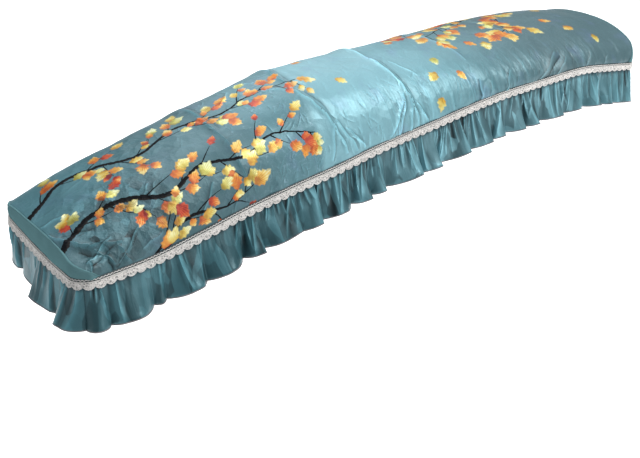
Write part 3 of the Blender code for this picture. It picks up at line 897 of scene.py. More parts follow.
def lace_point(run, down, out=0.0):
    """A point of the lace strip: down from its upper edge, out from its face."""
    x, y, out_x, out_y = outline(run)
    down = down * (1.0 - LACE_DRAWN_UP * np.clip((x + 0.30) / 0.70, 0, 1))
    share = down / (LACE_ABOVE_SEAM + LACE_TO_TIP)
    sway = 0.0007 * soft_noise(run / OUTLINE * 128, share * 1.5, 80) * (0.3 + share)
    offset = LACE_HEAD_OFFSET + (LACE_FOOT_OFFSET - LACE_HEAD_OFFSET) * share + sway + out
    z = seam_height(x, y) + LACE_ABOVE_SEAM - down * 0.99 - UNDERSIDE
    return np.stack([x + out_x * offset, y + out_y * offset, z], axis=-1)


def scallop_depth(run):
    """How far down the lace's edge is: round scallops with a notch between each two."""
    phase = np.mod(run / OUTLINE * SCALLOPS, 1.0)
    arch = np.maximum(1 - (2 * phase - 1) ** 2, 0) ** 0.7
    return LACE_ABOVE_SEAM + LACE_TO_NOTCH + (LACE_TO_TIP - LACE_TO_NOTCH) * arch


def even_run(count):
    """Places evenly spaced round the outline."""
    return np.arange(count) / count * OUTLINE


def make_lace_net(material):
    """The net of the lace: a strip cut to the scallops."""
    run = even_run(SCALLOPS * POINTS_A_SCALLOP)
    down = HEADING + np.linspace(1, 0, LACE_ROWS)[:, None] * (scallop_depth(run) - 0.0004 - HEADING)
    run_grid = np.broadcast_to(run, down.shape)
    piece = cloth_piece("lace_net", lace_point(run_grid, down), LACE_CLOTH, [material], closed=True)[0]
    lay_plane(piece, np.stack([run_grid, down, 0 * down], axis=-1))
    return piece


def make_seam_shadow_band(material):
    """A narrow dark band behind the lace's open heading, over the seam between the top and the frill: a
    painted shadow of the seam.
    """
    run_grid, down = np.meshgrid(even_run(SCALLOPS * 6), SHADOW_BAND_ROWS)
    points = lace_point(run_grid, down, SHADOW_BAND_BEHIND)
    return cloth_piece("seam_shadow_band", points, LACE_CLOTH, [material], closed=True)[0]


def chain(points):
    """Vertices and edges of one closed line."""
    index = np.arange(len(points))
    return points, np.stack([index, np.roll(index, -1)], axis=1)


def join_lines(lines):
    """Many lines, each as points and edges, as one set of vertices and edges."""
    count, vertices, edges = 0, [], []
    for points, joined in lines:
        vertices.append(points)
        edges.append(joined + count)
        count += len(points)
    return np.concatenate(vertices), np.concatenate(edges)


def short_lines(points):
    """Separate lines of equal length: one to a row of points."""
    rows, columns = points.shape[:2]
    index = np.arange(rows * columns).reshape(rows, columns)
    edges = np.stack([index[:, :-1], index[:, 1:]], axis=-1).reshape(-1, 2)
    return points.reshape(-1, 3), edges


def lace_cords():
    """The thick cords of the lace: both edges of the band, the scallops and the vine worked on the net."""
    turn = 2 * math.pi * SCALLOPS / OUTLINE
    edge, edging, vine = even_run(SCALLOPS * 6), even_run(SCALLOPS * 20), even_run(SCALLOPS * 12)
    picots = even_run(SCALLOPS * PICOTS_A_SCALLOP * 4)
    loops = 0.0006 - 0.0011 * np.cos(np.arange(len(picots)) * math.pi / 2)
    beaded = scallop_depth(edging) - 0.0003 + 0.00035 * np.sin(5 * turn * edging)
    waved = 0.0076 + 0.0022 * np.sin(turn * vine) + 0.0006 * soft_noise(vine / 0.013, 0 * vine, 81)
    return join_lines([
        chain(lace_point(edge, HEADING + 0.0003, LACE_LIFT)),
        chain(lace_point(picots, loops)),
        chain(lace_point(edging, beaded, LACE_LIFT)),
        chain(lace_point(vine, waved, LACE_LIFT)),
    ])


def lace_threads():
    """The finer threads: an echo of the scallops, petals and fans."""
    step = OUTLINE / SCALLOPS
    run = even_run(SCALLOPS * 10)
    lines = [chain(lace_point(run, scallop_depth(run) - 0.0029, LACE_LIFT))]
    centre = (np.arange(SCALLOPS) + 0.5)[:, None] * step
    turn = np.linspace(0, 2 * math.pi, 8)[None, :]
    for aside, down, wide, tall in PETALS:
        run = centre + aside * step + wide * np.cos(turn)
        lines.append(short_lines(lace_point(run, down + tall * np.sin(turn), LACE_LIFT)))
    for lean in FANS:
        outer_run = centre + lean * step
        run = np.concatenate([centre + 0.5 * lean * step, outer_run], axis=1)
        foot = scallop_depth(outer_run) - 0.0006
        lines.append(short_lines(lace_point(run, np.concatenate([foot - 0.0030, foot], axis=1), LACE_LIFT)))
    return join_lines(lines)


def smooth_route(points, step):
    """A smooth line through the given points, in short even steps."""
    points = np.array(points, float)
    padded = np.concatenate([2 * points[:1] - points[1:2], points, 2 * points[-1:] - points[-2:-1]])
    t = np.linspace(0, 1, 13)[:, None]
    route = np.concatenate([
        b + 0.5 * t * (c - a + t * (2 * a - 5 * b + 4 * c - d + t * (3 * (b - c) + d - a)))
        for a, b, c, d in zip(padded, padded[1:], padded[2:], padded[3:])
    ])
    run = run_along(route) + 1e-9 * np.arange(len(route))
    return at_places(np.linspace(0, run[-1], max(int(run[-1] / step), 2) + 1), run, route)


def heading(step):
    return math.atan2(step[1], step[0])


def grow_spray():
    """Twigs and leaves of the print: every bough sends out bent twigs, and each twig carries a few leaves."""
    random = np.random.default_rng(23)
    boughs, twigs, leaves = [], [], []
    for points, start_width, end_width in BOUGHS:
        route = smooth_route(points, BOUGH_STEP)
        route[1:-1] += random.uniform(-0.0012, 0.0012, (len(route) - 2, 2))
        boughs.append((route, start_width, end_width))
        growth = HEAD_LEAF_GROWTH if points[0][0] > 0 else 1.0
        place = random.uniform(0.03, 0.06)
        length = BOUGH_STEP * (len(route) - 1)
        side = random.choice([-1, 1])
        while place < length:
            at = min(int(place / BOUGH_STEP), len(route) - 2)
            angle = heading(route[at + 1] - route[at]) + side * random.uniform(0.55, 1.05)
            reach = random.uniform(*TWIG_LENGTH) * (1 - 0.35 * place / length)
            turns = angle - side * random.uniform(0.0, 0.5) * np.linspace(0, 1, 5)
            tips = route[at] + np.cumsum(steps_along(turns, reach), axis=0)
            twig = smooth_route(np.concatenate([route[at:at + 1], tips]), TWIG_STEP)
            twigs.append((twig, 0.0017, 0.0006))
            for share in (0.42, 0.62, 0.82, 1.0):
                if share < 1 and random.uniform() < 0.36:
                    continue
                foot = twig[int(share * (len(twig) - 1))]
                turn = 0 if share == 1 else random.choice([-1, 1]) * random.uniform(0.5, 1.1)
                direction = turns[-1] + turn + random.uniform(-0.25, 0.25)
                size = random.uniform(*LEAF_LENGTH) * growth
                leaves.append((*foot, direction, size, random.uniform(0, 1)))
            place += random.uniform(*TWIG_SPACING)
            side = -side if random.uniform() < 0.8 else side
        leaves.append((*route[-1], heading(route[-1] - route[-2]), 0.05, 0.4))
    for along, across, degrees, size, redness in LOOSE_LEAVES:
        leaves.append((along, across, math.radians(degrees), size, redness))
    return boughs, twigs, leaves


def print_lines(corner_points, lines):
    """For each face the nearest drawn line: distance from its middle, half width, and place along it."""
    centres = corner_points.mean(axis=1)
    nearest = np.full(len(centres), np.inf)
    values = np.zeros(corner_points.shape[:2] + (3,))
    values[..., 0] = 1.0
    for route, start_width, end_width in lines:
        low, high = route.min(axis=0) - LINE_MARGIN, route.max(axis=0) + LINE_MARGIN
        near = np.flatnonzero(((centres > low) & (centres < high)).all(axis=1))
        count = len(route) - 1
        for k in range(count):
            start, step = route[k], route[k + 1] - route[k]
            length = np.linalg.norm(step)
            share = ((centres[near] - start) @ step) / length ** 2
            gap = np.linalg.norm(centres[near] - start - np.clip(share, 0, 1)[:, None] * step, axis=1)
            closer = (gap < nearest[near]) & (gap < LINE_REACH)
            better = near[closer]
            nearest[better] = gap[closer]
            offset = corner_points[better] - start
            along = (offset @ step) / length ** 2
            aside = (offset[..., 0] * step[1] - offset[..., 1] * step[0]) / length
            place = (k + along) / count
            width = start_width + (end_width - start_width) * np.clip(place, 0, 1)
            width = width - (np.maximum(place - 1, 0) + np.maximum(-place, 0)) * count * length
            values[better] = np.stack([aside, width, place * count * length], axis=-1)
    return values


def print_leaves(corner_points, leaves):
    """Leaves on layers of faces that never share a face: place along the leaf, across it, and its redness."""
    centres = corner_points.mean(axis=1)
    layers = np.zeros((LEAF_LAYERS,) + corner_points.shape[:2] + (3,))
    layers[..., 0] = -1.0
    used = np.zeros((LEAF_LAYERS, len(centres)), dtype=bool)
    for along, across, direction, size, redness in leaves:
        near = np.flatnonzero(np.linalg.norm(centres - (along, across), axis=1) < size + 0.01)
        offset = corner_points[near] - (along, across)
        a = (offset[..., 0] * math.cos(direction) + offset[..., 1] * math.sin(direction)) / size
        b = (offset[..., 1] * math.cos(direction) - offset[..., 0] * math.sin(direction)) / size
        half = LEAF_WIDTH * np.sin(math.pi * np.clip(a, 0, 1) ** LEAF_SHOULDER)
        touched = ((a > -0.08) & (a < 1.08) & (np.abs(b) < half + 0.10)).any(axis=1)
        faces = near[touched]
        free = [layer for layer in range(LEAF_LAYERS) if not used[layer, faces].any()]
        if free:
            used[free[0], faces] = True
            layers[free[0], faces] = np.stack([a, b, np.full_like(a, redness)], axis=-1)[touched]
    return layers


def print_on(piece, faces, along, across):
    """Lay the print on the outer faces of the top, corner by corner, so that its edges stay crisp."""
    corner_points = np.stack([along[faces], across[faces]], axis=-1)
    boughs, twigs, leaves = grow_spray()
    for name, lines in (
        ("print_bough", boughs),
        ("print_twig", twigs),
        ("crease_ridge", pressed_lines(1)),
        ("crease_trough", pressed_lines(-1)),
        ("wrinkle", wrinkle_lines()),
    ):
        lay_on_faces(piece, name, print_lines(corner_points, lines), 1.0)
    for number, values in enumerate(print_leaves(corner_points, leaves)):
        lay_on_faces(piece, "print_leaf_%d" % number, values, -1.0)


class Value:
    """A number, colour or vector that changes over a surface, with plain arithmetic on it."""

    def __init__(self, socket):
        self.socket, self.tree = socket, socket.id_data

    def __add__(self, other):
        return maths("ADD", self, other)

    def __sub__(self, other):
        return maths("SUBTRACT", self, other)

    def __rsub__(self, other):
        return maths("SUBTRACT", other, self)

    def __mul__(self, other):
        return maths("MULTIPLY", self, other)

    def __truediv__(self, other):
        return maths("DIVIDE", self, other)

    def __neg__(self):
        return self * -1.0

    def __abs__(self):
        return maths("ABSOLUTE", self)


def plug(place, value):
    """Give an input its value: a link from another node, or a plain number, colour or thing."""
    if isinstance(value, Value):
        place.id_data.links.new(value.socket, place)
    else:
        place.default_value = value


def plug_all(places, values):
    for name, value in values.items():
        plug(places[name], value)


def node(tree, kind, inputs=None, **settings):
    """A new node with its settings and inputs; gives its outputs in order."""
    made = tree.nodes.new(kind)
    for name, value in settings.items():
        setattr(made, name, value)
    plug_all(made.inputs, inputs or {})
    return [Value(socket) for socket in made.outputs]


def tree_of(*values):
    return next(value.tree for value in values if isinstance(value, Value))


def maths(operation, *values, clamp=False):
    inputs = dict(enumerate(values))
    return node(tree_of(*values), "ShaderNodeMath", inputs, operation=operation, use_clamp=clamp)[0]


def clamped(value):
    return maths("MULTIPLY", value, 1.0, clamp=True)


def rising(value, start, end):
    """Nought before start and one beyond end, even in between; end may be the lower of the two."""
    return maths("MULTIPLY_ADD", value, 1 / (end - start), start / (start - end), clamp=True)


def measure(vector, other, operation):
    """One number from two vectors, such as their distance."""
    return node(vector.tree, "ShaderNodeVectorMath", {0: vector, 1: other}, operation=operation)[1]


def split(vector):
    return node(vector.tree, "ShaderNodeSeparateXYZ", {"Vector": vector})


def stretched(place, scale):
    return node(place.tree, "ShaderNodeMapping", {"Vector": place, "Scale": scale})[0]


def noise(place, scale, detail=2.0, **more):
    """Soft noise: its number from 0 to 1, then its colour."""
    return node(place.tree, "ShaderNodeTexNoise", {"Vector": place, "Scale": scale, "Detail": detail, **more})


def cells(place, scale, feature, **more):
    """Irregular cells: the distance, then a colour of each cell's own."""
    inputs = {"Vector": place, "Scale": scale, **more}
    return node(place.tree, "ShaderNodeTexVoronoi", inputs, feature=feature)


def bent(place, colours, amount):
    """The place, pushed about by a noise's colours."""
    inputs = {0: colours, 1: (amount,) * 3, 2: place}
    return node(place.tree, "ShaderNodeVectorMath", inputs, operation="MULTIPLY_ADD")[0]


def mix(share, first, second, blend="MIX"):
    return node(tree_of(share, first, second), "ShaderNodeMix", {0: share, 6: first, 7: second},
                data_type="RGBA", blend_type=blend)[2]


def shaded(colour, shade):
    """A colour made darker or lighter by a number."""
    grey = node(shade.tree, "ShaderNodeCombineColor", {0: shade, 1: shade, 2: shade})[0]
    return mix(1.0, colour, grey, "MULTIPLY")


def ramp(factor, stops):
    """A colour that runs through stops: place, red, green, blue."""
    made = factor.tree.nodes.new("ShaderNodeValToRGB")
    plug(made.inputs[0], factor)
    while len(made.color_ramp.elements) < len(stops):
        made.color_ramp.elements.new(0.5)
    for element, (place, *colour) in zip(made.color_ramp.elements, stops):
        element.position = place
        element.color = (*colour, 1)
    return Value(made.outputs[0])


def new_group(name, kind, inputs, outputs):
    """An empty node group with named sockets: its tree, its inputs by name and the places of its outputs."""
    tree = bpy.data.node_groups.new(name, kind)
    for label, socket_kind, *value in inputs:
        socket = tree.interface.new_socket(label, in_out="INPUT", socket_type=socket_kind)
        if value:
            socket.default_value = value[0]
    for label, socket_kind in outputs:
        tree.interface.new_socket(label, in_out="OUTPUT", socket_type=socket_kind)
    entry = {socket.name: Value(socket) for socket in tree.nodes.new("NodeGroupInput").outputs}
    return tree, entry, tree.nodes.new("NodeGroupOutput").inputs


def use_group(group, inputs):
    """A group placed where its inputs come from; gives its outputs by name."""
    outputs = node(tree_of(*inputs.values()), "ShaderNodeGroup", inputs, node_tree=group)
    return {value.socket.name: value for value in outputs}


def satin_group():
    """Surface of the satin: soft crinkles, fine floats of the weave and a slight unevenness of shade."""
    tree, entry, leave = new_group("satin surface", SHADER, [("Vector", VECTOR), ("Crinkle", NUMBER, 1.0)],
                                   [("Height", NUMBER), ("Shade", NUMBER), ("Roughness", NUMBER)])
    place = entry["Vector"]
    broad, colours = noise(place, 26.0, 3.0)
    fine = noise(place, 110.0, 4.0, Roughness=0.62, Distortion=0.6)[0]
    floats = noise(stretched(place, (90.0, 1400.0, 1400.0)), 1.0, 1.0)[0]
    flats = cells(bent(place, colours, 0.03), 24.0, "DISTANCE_TO_EDGE")[0]
    crinkle = broad * 0.8 + fine * 0.45 - maths("MINIMUM", flats, 0.30) * 1.6
    plug_all(leave, {"Height": crinkle * entry["Crinkle"] + floats * 0.05,
                     "Shade": broad * 0.16 + (floats - 0.5) * 0.10 + 0.92,
                     "Roughness": fine * 0.12 + 0.38})
    return tree


def crease_group():
    """Relief of a pressed line: a sharp crest at its middle that falls off to both sides, and a signed
    measure across it for painted light on one side and painted shade on the other.
    """
    tree, entry, leave = new_group("pressed line", SHADER,
                                   [("Line", VECTOR), ("Width", NUMBER, 0.0014), ("Gain", NUMBER, 250.0)],
                                   [("Height", NUMBER), ("Side", NUMBER)])
    aside, strength, _ = split(entry["Line"])
    away = aside / entry["Width"]
    crest = maths("EXPONENT", -abs(away)) * clamped(strength * entry["Gain"])
    crest = crest * maths("LESS_THAN", abs(aside), PRESSED_REACH)
    plug_all(leave, {"Height": crest, "Side": crest * away * 2.7})
    return tree


def leaf_group():
    """One layer of printed leaves: pointed ovals that pale towards their tips, with fine veins."""
    inputs = [("Leaf", VECTOR), ("Vector", VECTOR), ("Under", COLOUR)]
    tree, entry, leave = new_group("printed leaf", SHADER, inputs, [("Color", COLOUR), ("Mask", NUMBER)])
    along, aside, redness = split(entry["Leaf"])
    wobble = noise(entry["Vector"], 70.0)[0] - 0.5
    inside = clamped(wobble * 0.10 + along)
    arch = maths("SINE", maths("POWER", inside, LEAF_SHOULDER) * math.pi)
    frayed = maths("SINE", along * 26.0 + redness * 40.0)
    room = arch * (frayed * 0.045 + LEAF_WIDTH) - abs(wobble * 0.26 + aside)
    mask = clamped((room - 0.004) * 11.0)
    veins = maths("SINE", aside / (maths("MAXIMUM", along, 0.0) + 0.16) * 44.0)
    pale = (noise(entry["Vector"], 42.0, 3.0)[0] - 0.5) * 1.7 + along + veins * 0.13
    yellow, orange, red, unripe = (ramp(pale, stops) for stops in LEAF_PAINTS)
    paint = mix(clamped(redness * 5.0 - 1.6), yellow, orange)
    paint = mix(clamped(redness * 8.0 - 6.2), paint, red)
    paint = mix(clamped(2.4 - redness * 14.0), paint, unripe)
    paint = mix(clamped(1.0 - abs(aside) * 70.0) * 0.35, paint, LEAF_RIB)
    plug_all(leave, {"Color": mix(mask, entry["Under"], paint), "Mask": mask})
    return tree


def twig_group():
    """Printed boughs and twigs: dark strokes with a frayed edge and paler bark along one side."""
    inputs = [("Line", VECTOR), ("Vector", VECTOR), ("Under", COLOUR)]
    tree, entry, leave = new_group("printed twig", SHADER, inputs, [("Color", COLOUR), ("Mask", NUMBER)])
    aside, width, _ = split(entry["Line"])
    rough = noise(entry["Vector"], 130.0, 3.0)[0] - 0.5
    room = width * (rough * 1.6 + 1.0) - abs(aside)
    mask = clamped(room * 2600.0 + 0.4)
    bark = mix(clamped(rough * 3.0 + aside * 180.0), BARK_DARK, BARK_PALE)
    plug_all(leave, {"Color": mix(mask, entry["Under"], bark), "Mask": mask})
    return tree


def thread_group():
    """Twisted thread: fine slanted plies in relief, with painted shade between them."""
    tree, entry, leave = new_group("twisted thread", SHADER, [("Vector", VECTOR)],
                                   [("Height", NUMBER), ("Shade", NUMBER)])
    place = entry["Vector"]
    inputs = {"Vector": place, "Scale": 700.0, "Distortion": 2.0, "Detail": 1.0}
    plies = node(tree, "ShaderNodeTexWave", inputs, bands_direction="DIAGONAL")[1]
    height = noise(place, 260.0)[0] * 0.5 + plies
    plug_all(leave, {"Height": height, "Shade": height * 0.16 + 0.82})
    return tree


def new_material(name):
    """A new material, its shader's inputs, and the place on the piece."""
    material = bpy.data.materials.new(name)
    material.use_nodes = True
    tree = material.node_tree
    place = tree.nodes.new("ShaderNodeTexCoord").outputs["Object"]
    return material, tree.nodes["Principled BSDF"].inputs, Value(place)


def raised(height, distance):
    """Normal of a surface with relief."""
    return node(height.tree, "ShaderNodeBump", {"Height": height, "Strength": 1.0, "Distance": distance})[0]


def stored(place, name):
    """The vector that a piece keeps under a name."""
    return node(place.tree, "ShaderNodeAttribute", attribute_name=name)[1]


def painted_facet_light(place, waves, bend, scale, smoothness):
    """Painted light and shade on the flats between the small folds of crumpled cloth, above and below zero.
    """
    flats = cells(bent(place, noise(place, waves)[1], bend), scale, "SMOOTH_F1", Smoothness=smoothness)
    return flats[1] - 0.48


def ground_with_painted_light(place, corner):
    """Colour under the print: deep on the slope; lighter in the middle, partly the print's wash and partly
    painted sheen; greyer and darker at the head end as painted shade; painted glints on the crinkles; and
    painted shade on the low front side, a band of the slope and the crumpled corner.
    """
    x, y, _ = split(place)
    # The slope and the middle are lighter: partly the print's wash, partly painted sheen on the level top
    # from the first crease on
    slope = rising(x, -0.45, -0.42)
    edge = rising(x - y * 0.14, -0.234, -0.220)
    middle = edge * rising(x, 0.36, 0.0) * 0.72 + slope * 0.12
    light = clamped((noise(place, 5.0, 3.0)[0] - 0.5) * 0.6 + middle)
    ground = mix(light, GROUND_DEEP, GROUND_PALE_AND_SHEEN)
    # Painted shade: the ground darker and greyer towards the head end
    ground = mix(rising(x, 0.14, 0.48), ground, GROUND_HEAD_PAINTED_SHADE)
    violet = clamped((noise(place, 16.0, 4.0)[0] - 0.55) * 2.2) * (slope * 0.3 + 0.45)
    ground = mix(violet, ground, GROUND_VIOLET)
    # Painted glints: pale specks over the crinkles, most on the slope
    painted_glint = clamped((noise(place, 62.0, 5.0, Roughness=0.7, Distortion=1.6)[0] - 0.55) * 7.0)
    ground = mix(painted_glint * (slope * (1.0 - edge) * 0.32 + 0.08), ground, GROUND_PAINTED_GLINT)
    # Painted shade: darker on a band of the slope, at the crumpled corner and on the low front side
    even = 1.0 - rising(x, -0.70, -0.62) * rising(x, -0.33, -0.41) * 0.24 - corner * 0.06
    low = rising(y, -0.02, -0.12)
    for reach, share in LOW_SIDE_PAINTED_SHADE:
        even = even - low * rising(x, reach, reach - 0.10) * share
    return shaded(ground, even)


def printed_satin(satin, leaf, twig, crease):
    """Satin of the top: its crinkles, pressed creases, crumpled corner, print and pulled sides, with painted
    light and shade on the ground, the creases, the corner's flats and the pulled sides' streaks.
    """
    material, shader, place = new_material("printed_satin")
    x, _, z = split(place)
    corner = rising(measure(place, CRUMPLED_CORNER, "DISTANCE"), 0.1625, 0.0325)
    surface = use_group(satin, {"Vector": place, "Crinkle": corner * 4.0 + 1.3})
    height, shade = surface["Height"], surface["Shade"]
    for name, width, gain, rise, painted_light_shade, side in PRESSED_LINES:
        line = use_group(crease, {"Line": stored(place, name), "Width": width, "Gain": gain})
        height = line["Height"] * rise + height
        # Painted highlight and shade along each crease, and painted light on one side with shade on the other
        shade = line["Height"] * painted_light_shade + line["Side"] * side + shade
    # Painted light and shade on the crumpled corner's flats
    shade = painted_facet_light(place, 14.0, 0.05, 46.0, 0.05) * corner * 2.40 + shade
    colour, dark = ground_with_painted_light(place, corner), 0.0
    for name in ("print_twig", "print_bough"):
        strokes = use_group(twig, {"Line": stored(place, name), "Vector": place, "Under": colour})
        colour, dark = strokes["Color"], maths("MAXIMUM", strokes["Mask"], dark)
    for number in range(LEAF_LAYERS):
        own = stored(place, "print_leaf_%d" % number)
        leaves = use_group(leaf, {"Leaf": own, "Vector": place, "Under": colour})
        colour, dark = leaves["Color"], maths("SUBTRACT", dark, leaves["Mask"], clamp=True)
    streaks = noise(stretched(place, (62.0, 7.0, 7.0)), 1.0, 3.0, Distortion=0.8)[0]
    pulled = rising(z, -0.012, -0.042) * rising(x, -0.20, -0.10) * rising(x, 0.72, 0.62)
    # Streaks on the pulled sides: relief, with painted highlights on the raised streaks and painted shade on
    # the sunk ones
    painted_streak_light = clamped((streaks - 0.56) * 7.0) * 0.40 - clamped((0.44 - streaks) * 6.0) * 0.20
    plug_all(shader, {
        "Base Color": shaded(colour, painted_streak_light * pulled + shade),
        "Roughness": dark * 0.30 + surface["Roughness"],
        "Metallic": dark * 0.60 + 0.25,
        "Specular IOR Level": 0.6,
        "Normal": raised(streaks * 2.2 * pulled + height, 0.0010),
    })
    return material


def gathered(place, crease, colour, height, shade):
    """What gathers do to satin: streaks and crests, hollows and crumples, and its run of colour; the crests
    carry painted highlights, the hollows painted shade, the crumpled flats painted light and shade, the strip
    under the lace a painted shadow, and the run of colour, paler towards the head, is painted light.
    """
    plane = stored(place, "cloth_plane")
    for scale, rise in FRILL_STREAKS:
        streaks = noise(stretched(plane, scale), 1.0, 2.0, Distortion=0.5)[0]
        height = height - abs(streaks - 0.5) * rise
    _, down, hollow = split(plane)
    x = split(place)[0]
    crest = use_group(crease, {"Line": stored(place, "gather_crest"), "Width": 0.0016, "Gain": 330.0})
    height = crest["Height"] * 1.9 + height
    # Painted shade in the hollows and painted highlights on the crests; then painted light and shade on the
    # crumpled flats
    shade = hollow * 0.42 + crest["Height"] * 0.95 + crest["Side"] * 0.55 + shade
    shade = painted_facet_light(stretched(plane, (1.0, 0.42, 0.0)), 22.0, 0.03, 42.0, 0.10) + shade
    # Painted shadow on the frill just under the lace
    shade = shade * (rising(down, 0.018, 0.027) * 0.62 + 0.38)
    # Painted light: the frill paler towards the head, then painted shade at the head end
    colour = mix(rising(x, -0.38, 0.12), colour, FRILL_PAINTED_LIGHT)
    return mix(rising(x, 0.48, 0.68), colour, FRILL_HEAD_PAINTED_SHADE), height, shade


def plain_satin(name, satin, colour, crinkle=0.8, metallic=0.30, shine=0.6, crease=None):
    """Plain satin; given the group for pressed lines, it is gathered as the frill is."""
    material, shader, place = new_material(name)
    surface = use_group(satin, {"Vector": place, "Crinkle": crinkle})
    height, shade, roughness = surface["Height"], surface["Shade"], surface["Roughness"]
    if crease:
        colour, height, shade = gathered(place, crease, colour, height, shade)
        roughness = roughness - 0.06
    plug_all(shader, {"Base Color": shaded(colour, shade), "Roughness": roughness, "Metallic": metallic,
                      "Specular IOR Level": shine, "Normal": raised(height, 0.0009)})
    return material


def thread_material(name, thread, colour, dark):
    material, shader, place = new_material(name)
    plies = use_group(thread, {"Vector": place})
    base = mix(clamped(noise(place, 55.0)[0] * 1.6 - 0.4), dark, colour)
    plug_all(shader, {"Base Color": shaded(base, plies["Shade"]), "Roughness": 0.72, "Sheen Weight": 0.2,
                      "Normal": raised(plies["Height"], 0.0001)})
    return material


def net_material():
    """Net of the lace: small and larger cells that let the dark cloth show, between white threads."""
    material, shader, place = new_material("lace_net")
    plane = stored(place, "cloth_plane")
    colour, holes = NET_WHITE, 0.0
    for scale, uneven, gain, reach, depth in NET_CELLS:
        distance = cells(plane, scale, "DISTANCE_TO_EDGE", Randomness=uneven)[0]
        hole = clamped(distance * gain + reach)
        colour = mix(hole * depth, colour, NET_HOLE)
        holes = maths("ADD", hole, holes)
    plug_all(shader, {"Base Color": colour, "Roughness": 0.8, "Normal": raised(-holes, 0.0003)})
    return material


def tube(line, sides, radius):
    """A smooth tube along a line."""
    profile = node(line.tree, "GeometryNodeCurvePrimitiveCircle", {"Resolution": sides, "Radius": radius})[0]
    swept = node(line.tree, "GeometryNodeCurveToMesh", {"Curve": line, "Profile Curve": profile})[0]
    return node(line.tree, "GeometryNodeSetShadeSmooth", {"Geometry": swept})[0]


def geometry_group(name, inputs):
    """An empty geometry tree that takes a piece, its own inputs and a material."""
    inputs = [("Geometry", GEOMETRY), *inputs, ("Material", "NodeSocketMaterial")]
    return new_group(name, "GeometryNodeTree", inputs, [("Geometry", GEOMETRY)])


def finish_tree(entry, leave, shape):
    whole = node(shape.tree, "GeometryNodeRealizeInstances", {"Geometry": shape})[0]
    inputs = {"Geometry": whole, "Material": entry["Material"]}
    plug(leave[0], node(shape.tree, "GeometryNodeSetMaterial", inputs)[0])


def thread_tree():
    """A round thread along every line of the piece."""
    inputs = [("Radius", NUMBER, 0.0005), ("Sides", COUNT, 4)]
    tree, entry, leave = geometry_group("thread along lines", inputs)
    line = node(tree, "GeometryNodeMeshToCurve", {"Mesh": entry["Geometry"]})[0]
    finish_tree(entry, leave, tube(line, entry["Sides"], entry["Radius"]))
    return tree


def stitch_tree():
    """A short arched stitch on every point, laid along the seam and humped away from the cloth."""
    tree, entry, leave = geometry_group("stitches along a seam", [
        ("Length", NUMBER, 0.0022), ("Hump", NUMBER, 0.0008), ("Thickness", NUMBER, 0.0003)])
    start, end = (node(tree, "ShaderNodeCombineXYZ", {"X": entry["Length"] * half})[0]
                  for half in (-0.5, 0.5))
    top = node(tree, "ShaderNodeCombineXYZ", {"Z": entry["Hump"]})[0]
    arch = node(tree, "GeometryNodeCurveQuadraticBezier",
                {"Resolution": 3, "Start": start, "Middle": top, "End": end})[0]
    outward, along = (
        node(tree, "GeometryNodeInputNamedAttribute", {"Name": name}, data_type="FLOAT_VECTOR")[0]
        for name in ("outward", "along"))
    turn = node(tree, "FunctionNodeAlignRotationToVector", {"Vector": outward}, axis="Z")[0]
    turn = node(tree, "FunctionNodeAlignRotationToVector", {"Rotation": turn, "Vector": along},
                axis="X", pivot_axis="Z")[0]
    placed = node(tree, "GeometryNodeInstanceOnPoints", {
        "Points": entry["Geometry"], "Instance": tube(arch, 4, entry["Thickness"]), "Rotation": turn})[0]
    finish_tree(entry, leave, placed)
    return tree


def grow_piece(piece, tree, values):
    """Run a geometry tree on a piece with its own values, and keep the result as a plain mesh."""
    modifier = piece.modifiers.new(tree.name, "NODES")
    modifier.node_group = tree
    for item in tree.interface.items_tree:
        if item.item_type == "SOCKET" and item.in_out == "INPUT" and item.name in values:
            modifier[item.identifier] = values[item.name]
    mesh = bpy.data.meshes.new_from_object(piece.evaluated_get(bpy.context.evaluated_depsgraph_get()))
    piece.modifiers.remove(modifier)
    piece.data = mesh
    return piece


def make_threads(name, lines, radius, tree, material, sides=3):
    """Threads or cords along lines, each given as points and edges."""
    vertices, edges = lines
    piece = link_piece(name, vertices, [], [], edges)
    return grow_piece(piece, tree, {"Radius": radius, "Sides": sides, "Material": material})


def seam_stitches(name, points, along, outward, tree, values):
    """Stitches at the given points of a seam."""
    piece = link_piece(name, points, [], [])
    store(piece, "along", along)
    store(piece, "outward", outward)
    return grow_piece(piece, tree, values)


def make_lace_stitches(tree, material):
    """Stitches that hold the lace's heading to the seam."""
    run = even_run(int(OUTLINE / STITCH_SPACING))
    points, ahead = (lace_point(places, HEADING + 0.0014, LACE_LIFT) for places in (run, run + 0.001))
    outward = np.stack([*outline(run)[2:], 0 * run], axis=1)
    values = {"Length": 0.0024, "Hump": 0.0010, "Thickness": 0.00025, "Material": material}
    return seam_stitches("lace_stitches", points, ahead - points, outward, tree, values)


def unit(vectors):
    return vectors / np.linalg.norm(vectors, axis=1, keepdims=True)


def make_hem_overlock(frill_points, tree, material):
    """Overlock stitches that wrap the frill's hem, one beside the other."""
    hem, above = np.concatenate([frill_points[:2], frill_points[:2, :1]], axis=1)
    run = run_along(hem)
    count = int(run[-1] / OVERLOCK_SPACING)
    even = np.arange(count) / count * run[-1]
    low, up = at_places(even, run, hem), at_places(even, run, above)
    ahead = np.roll(low, -1, axis=0) - np.roll(low, 1, axis=0)
    rise = unit(up - low)
    outward = unit(np.cross(ahead, rise))
    slant = rise + 0.35 * unit(ahead)
    points = low + rise * (0.5 * HEM_WRAP - 0.0006) + outward * (SATIN / 2 - 0.0001)
    values = {"Length": HEM_WRAP, "Hump": 0.0007, "Thickness": HEM_THREAD, "Material": material}
    return seam_stitches("hem_overlock", points, slant, outward, tree, values)


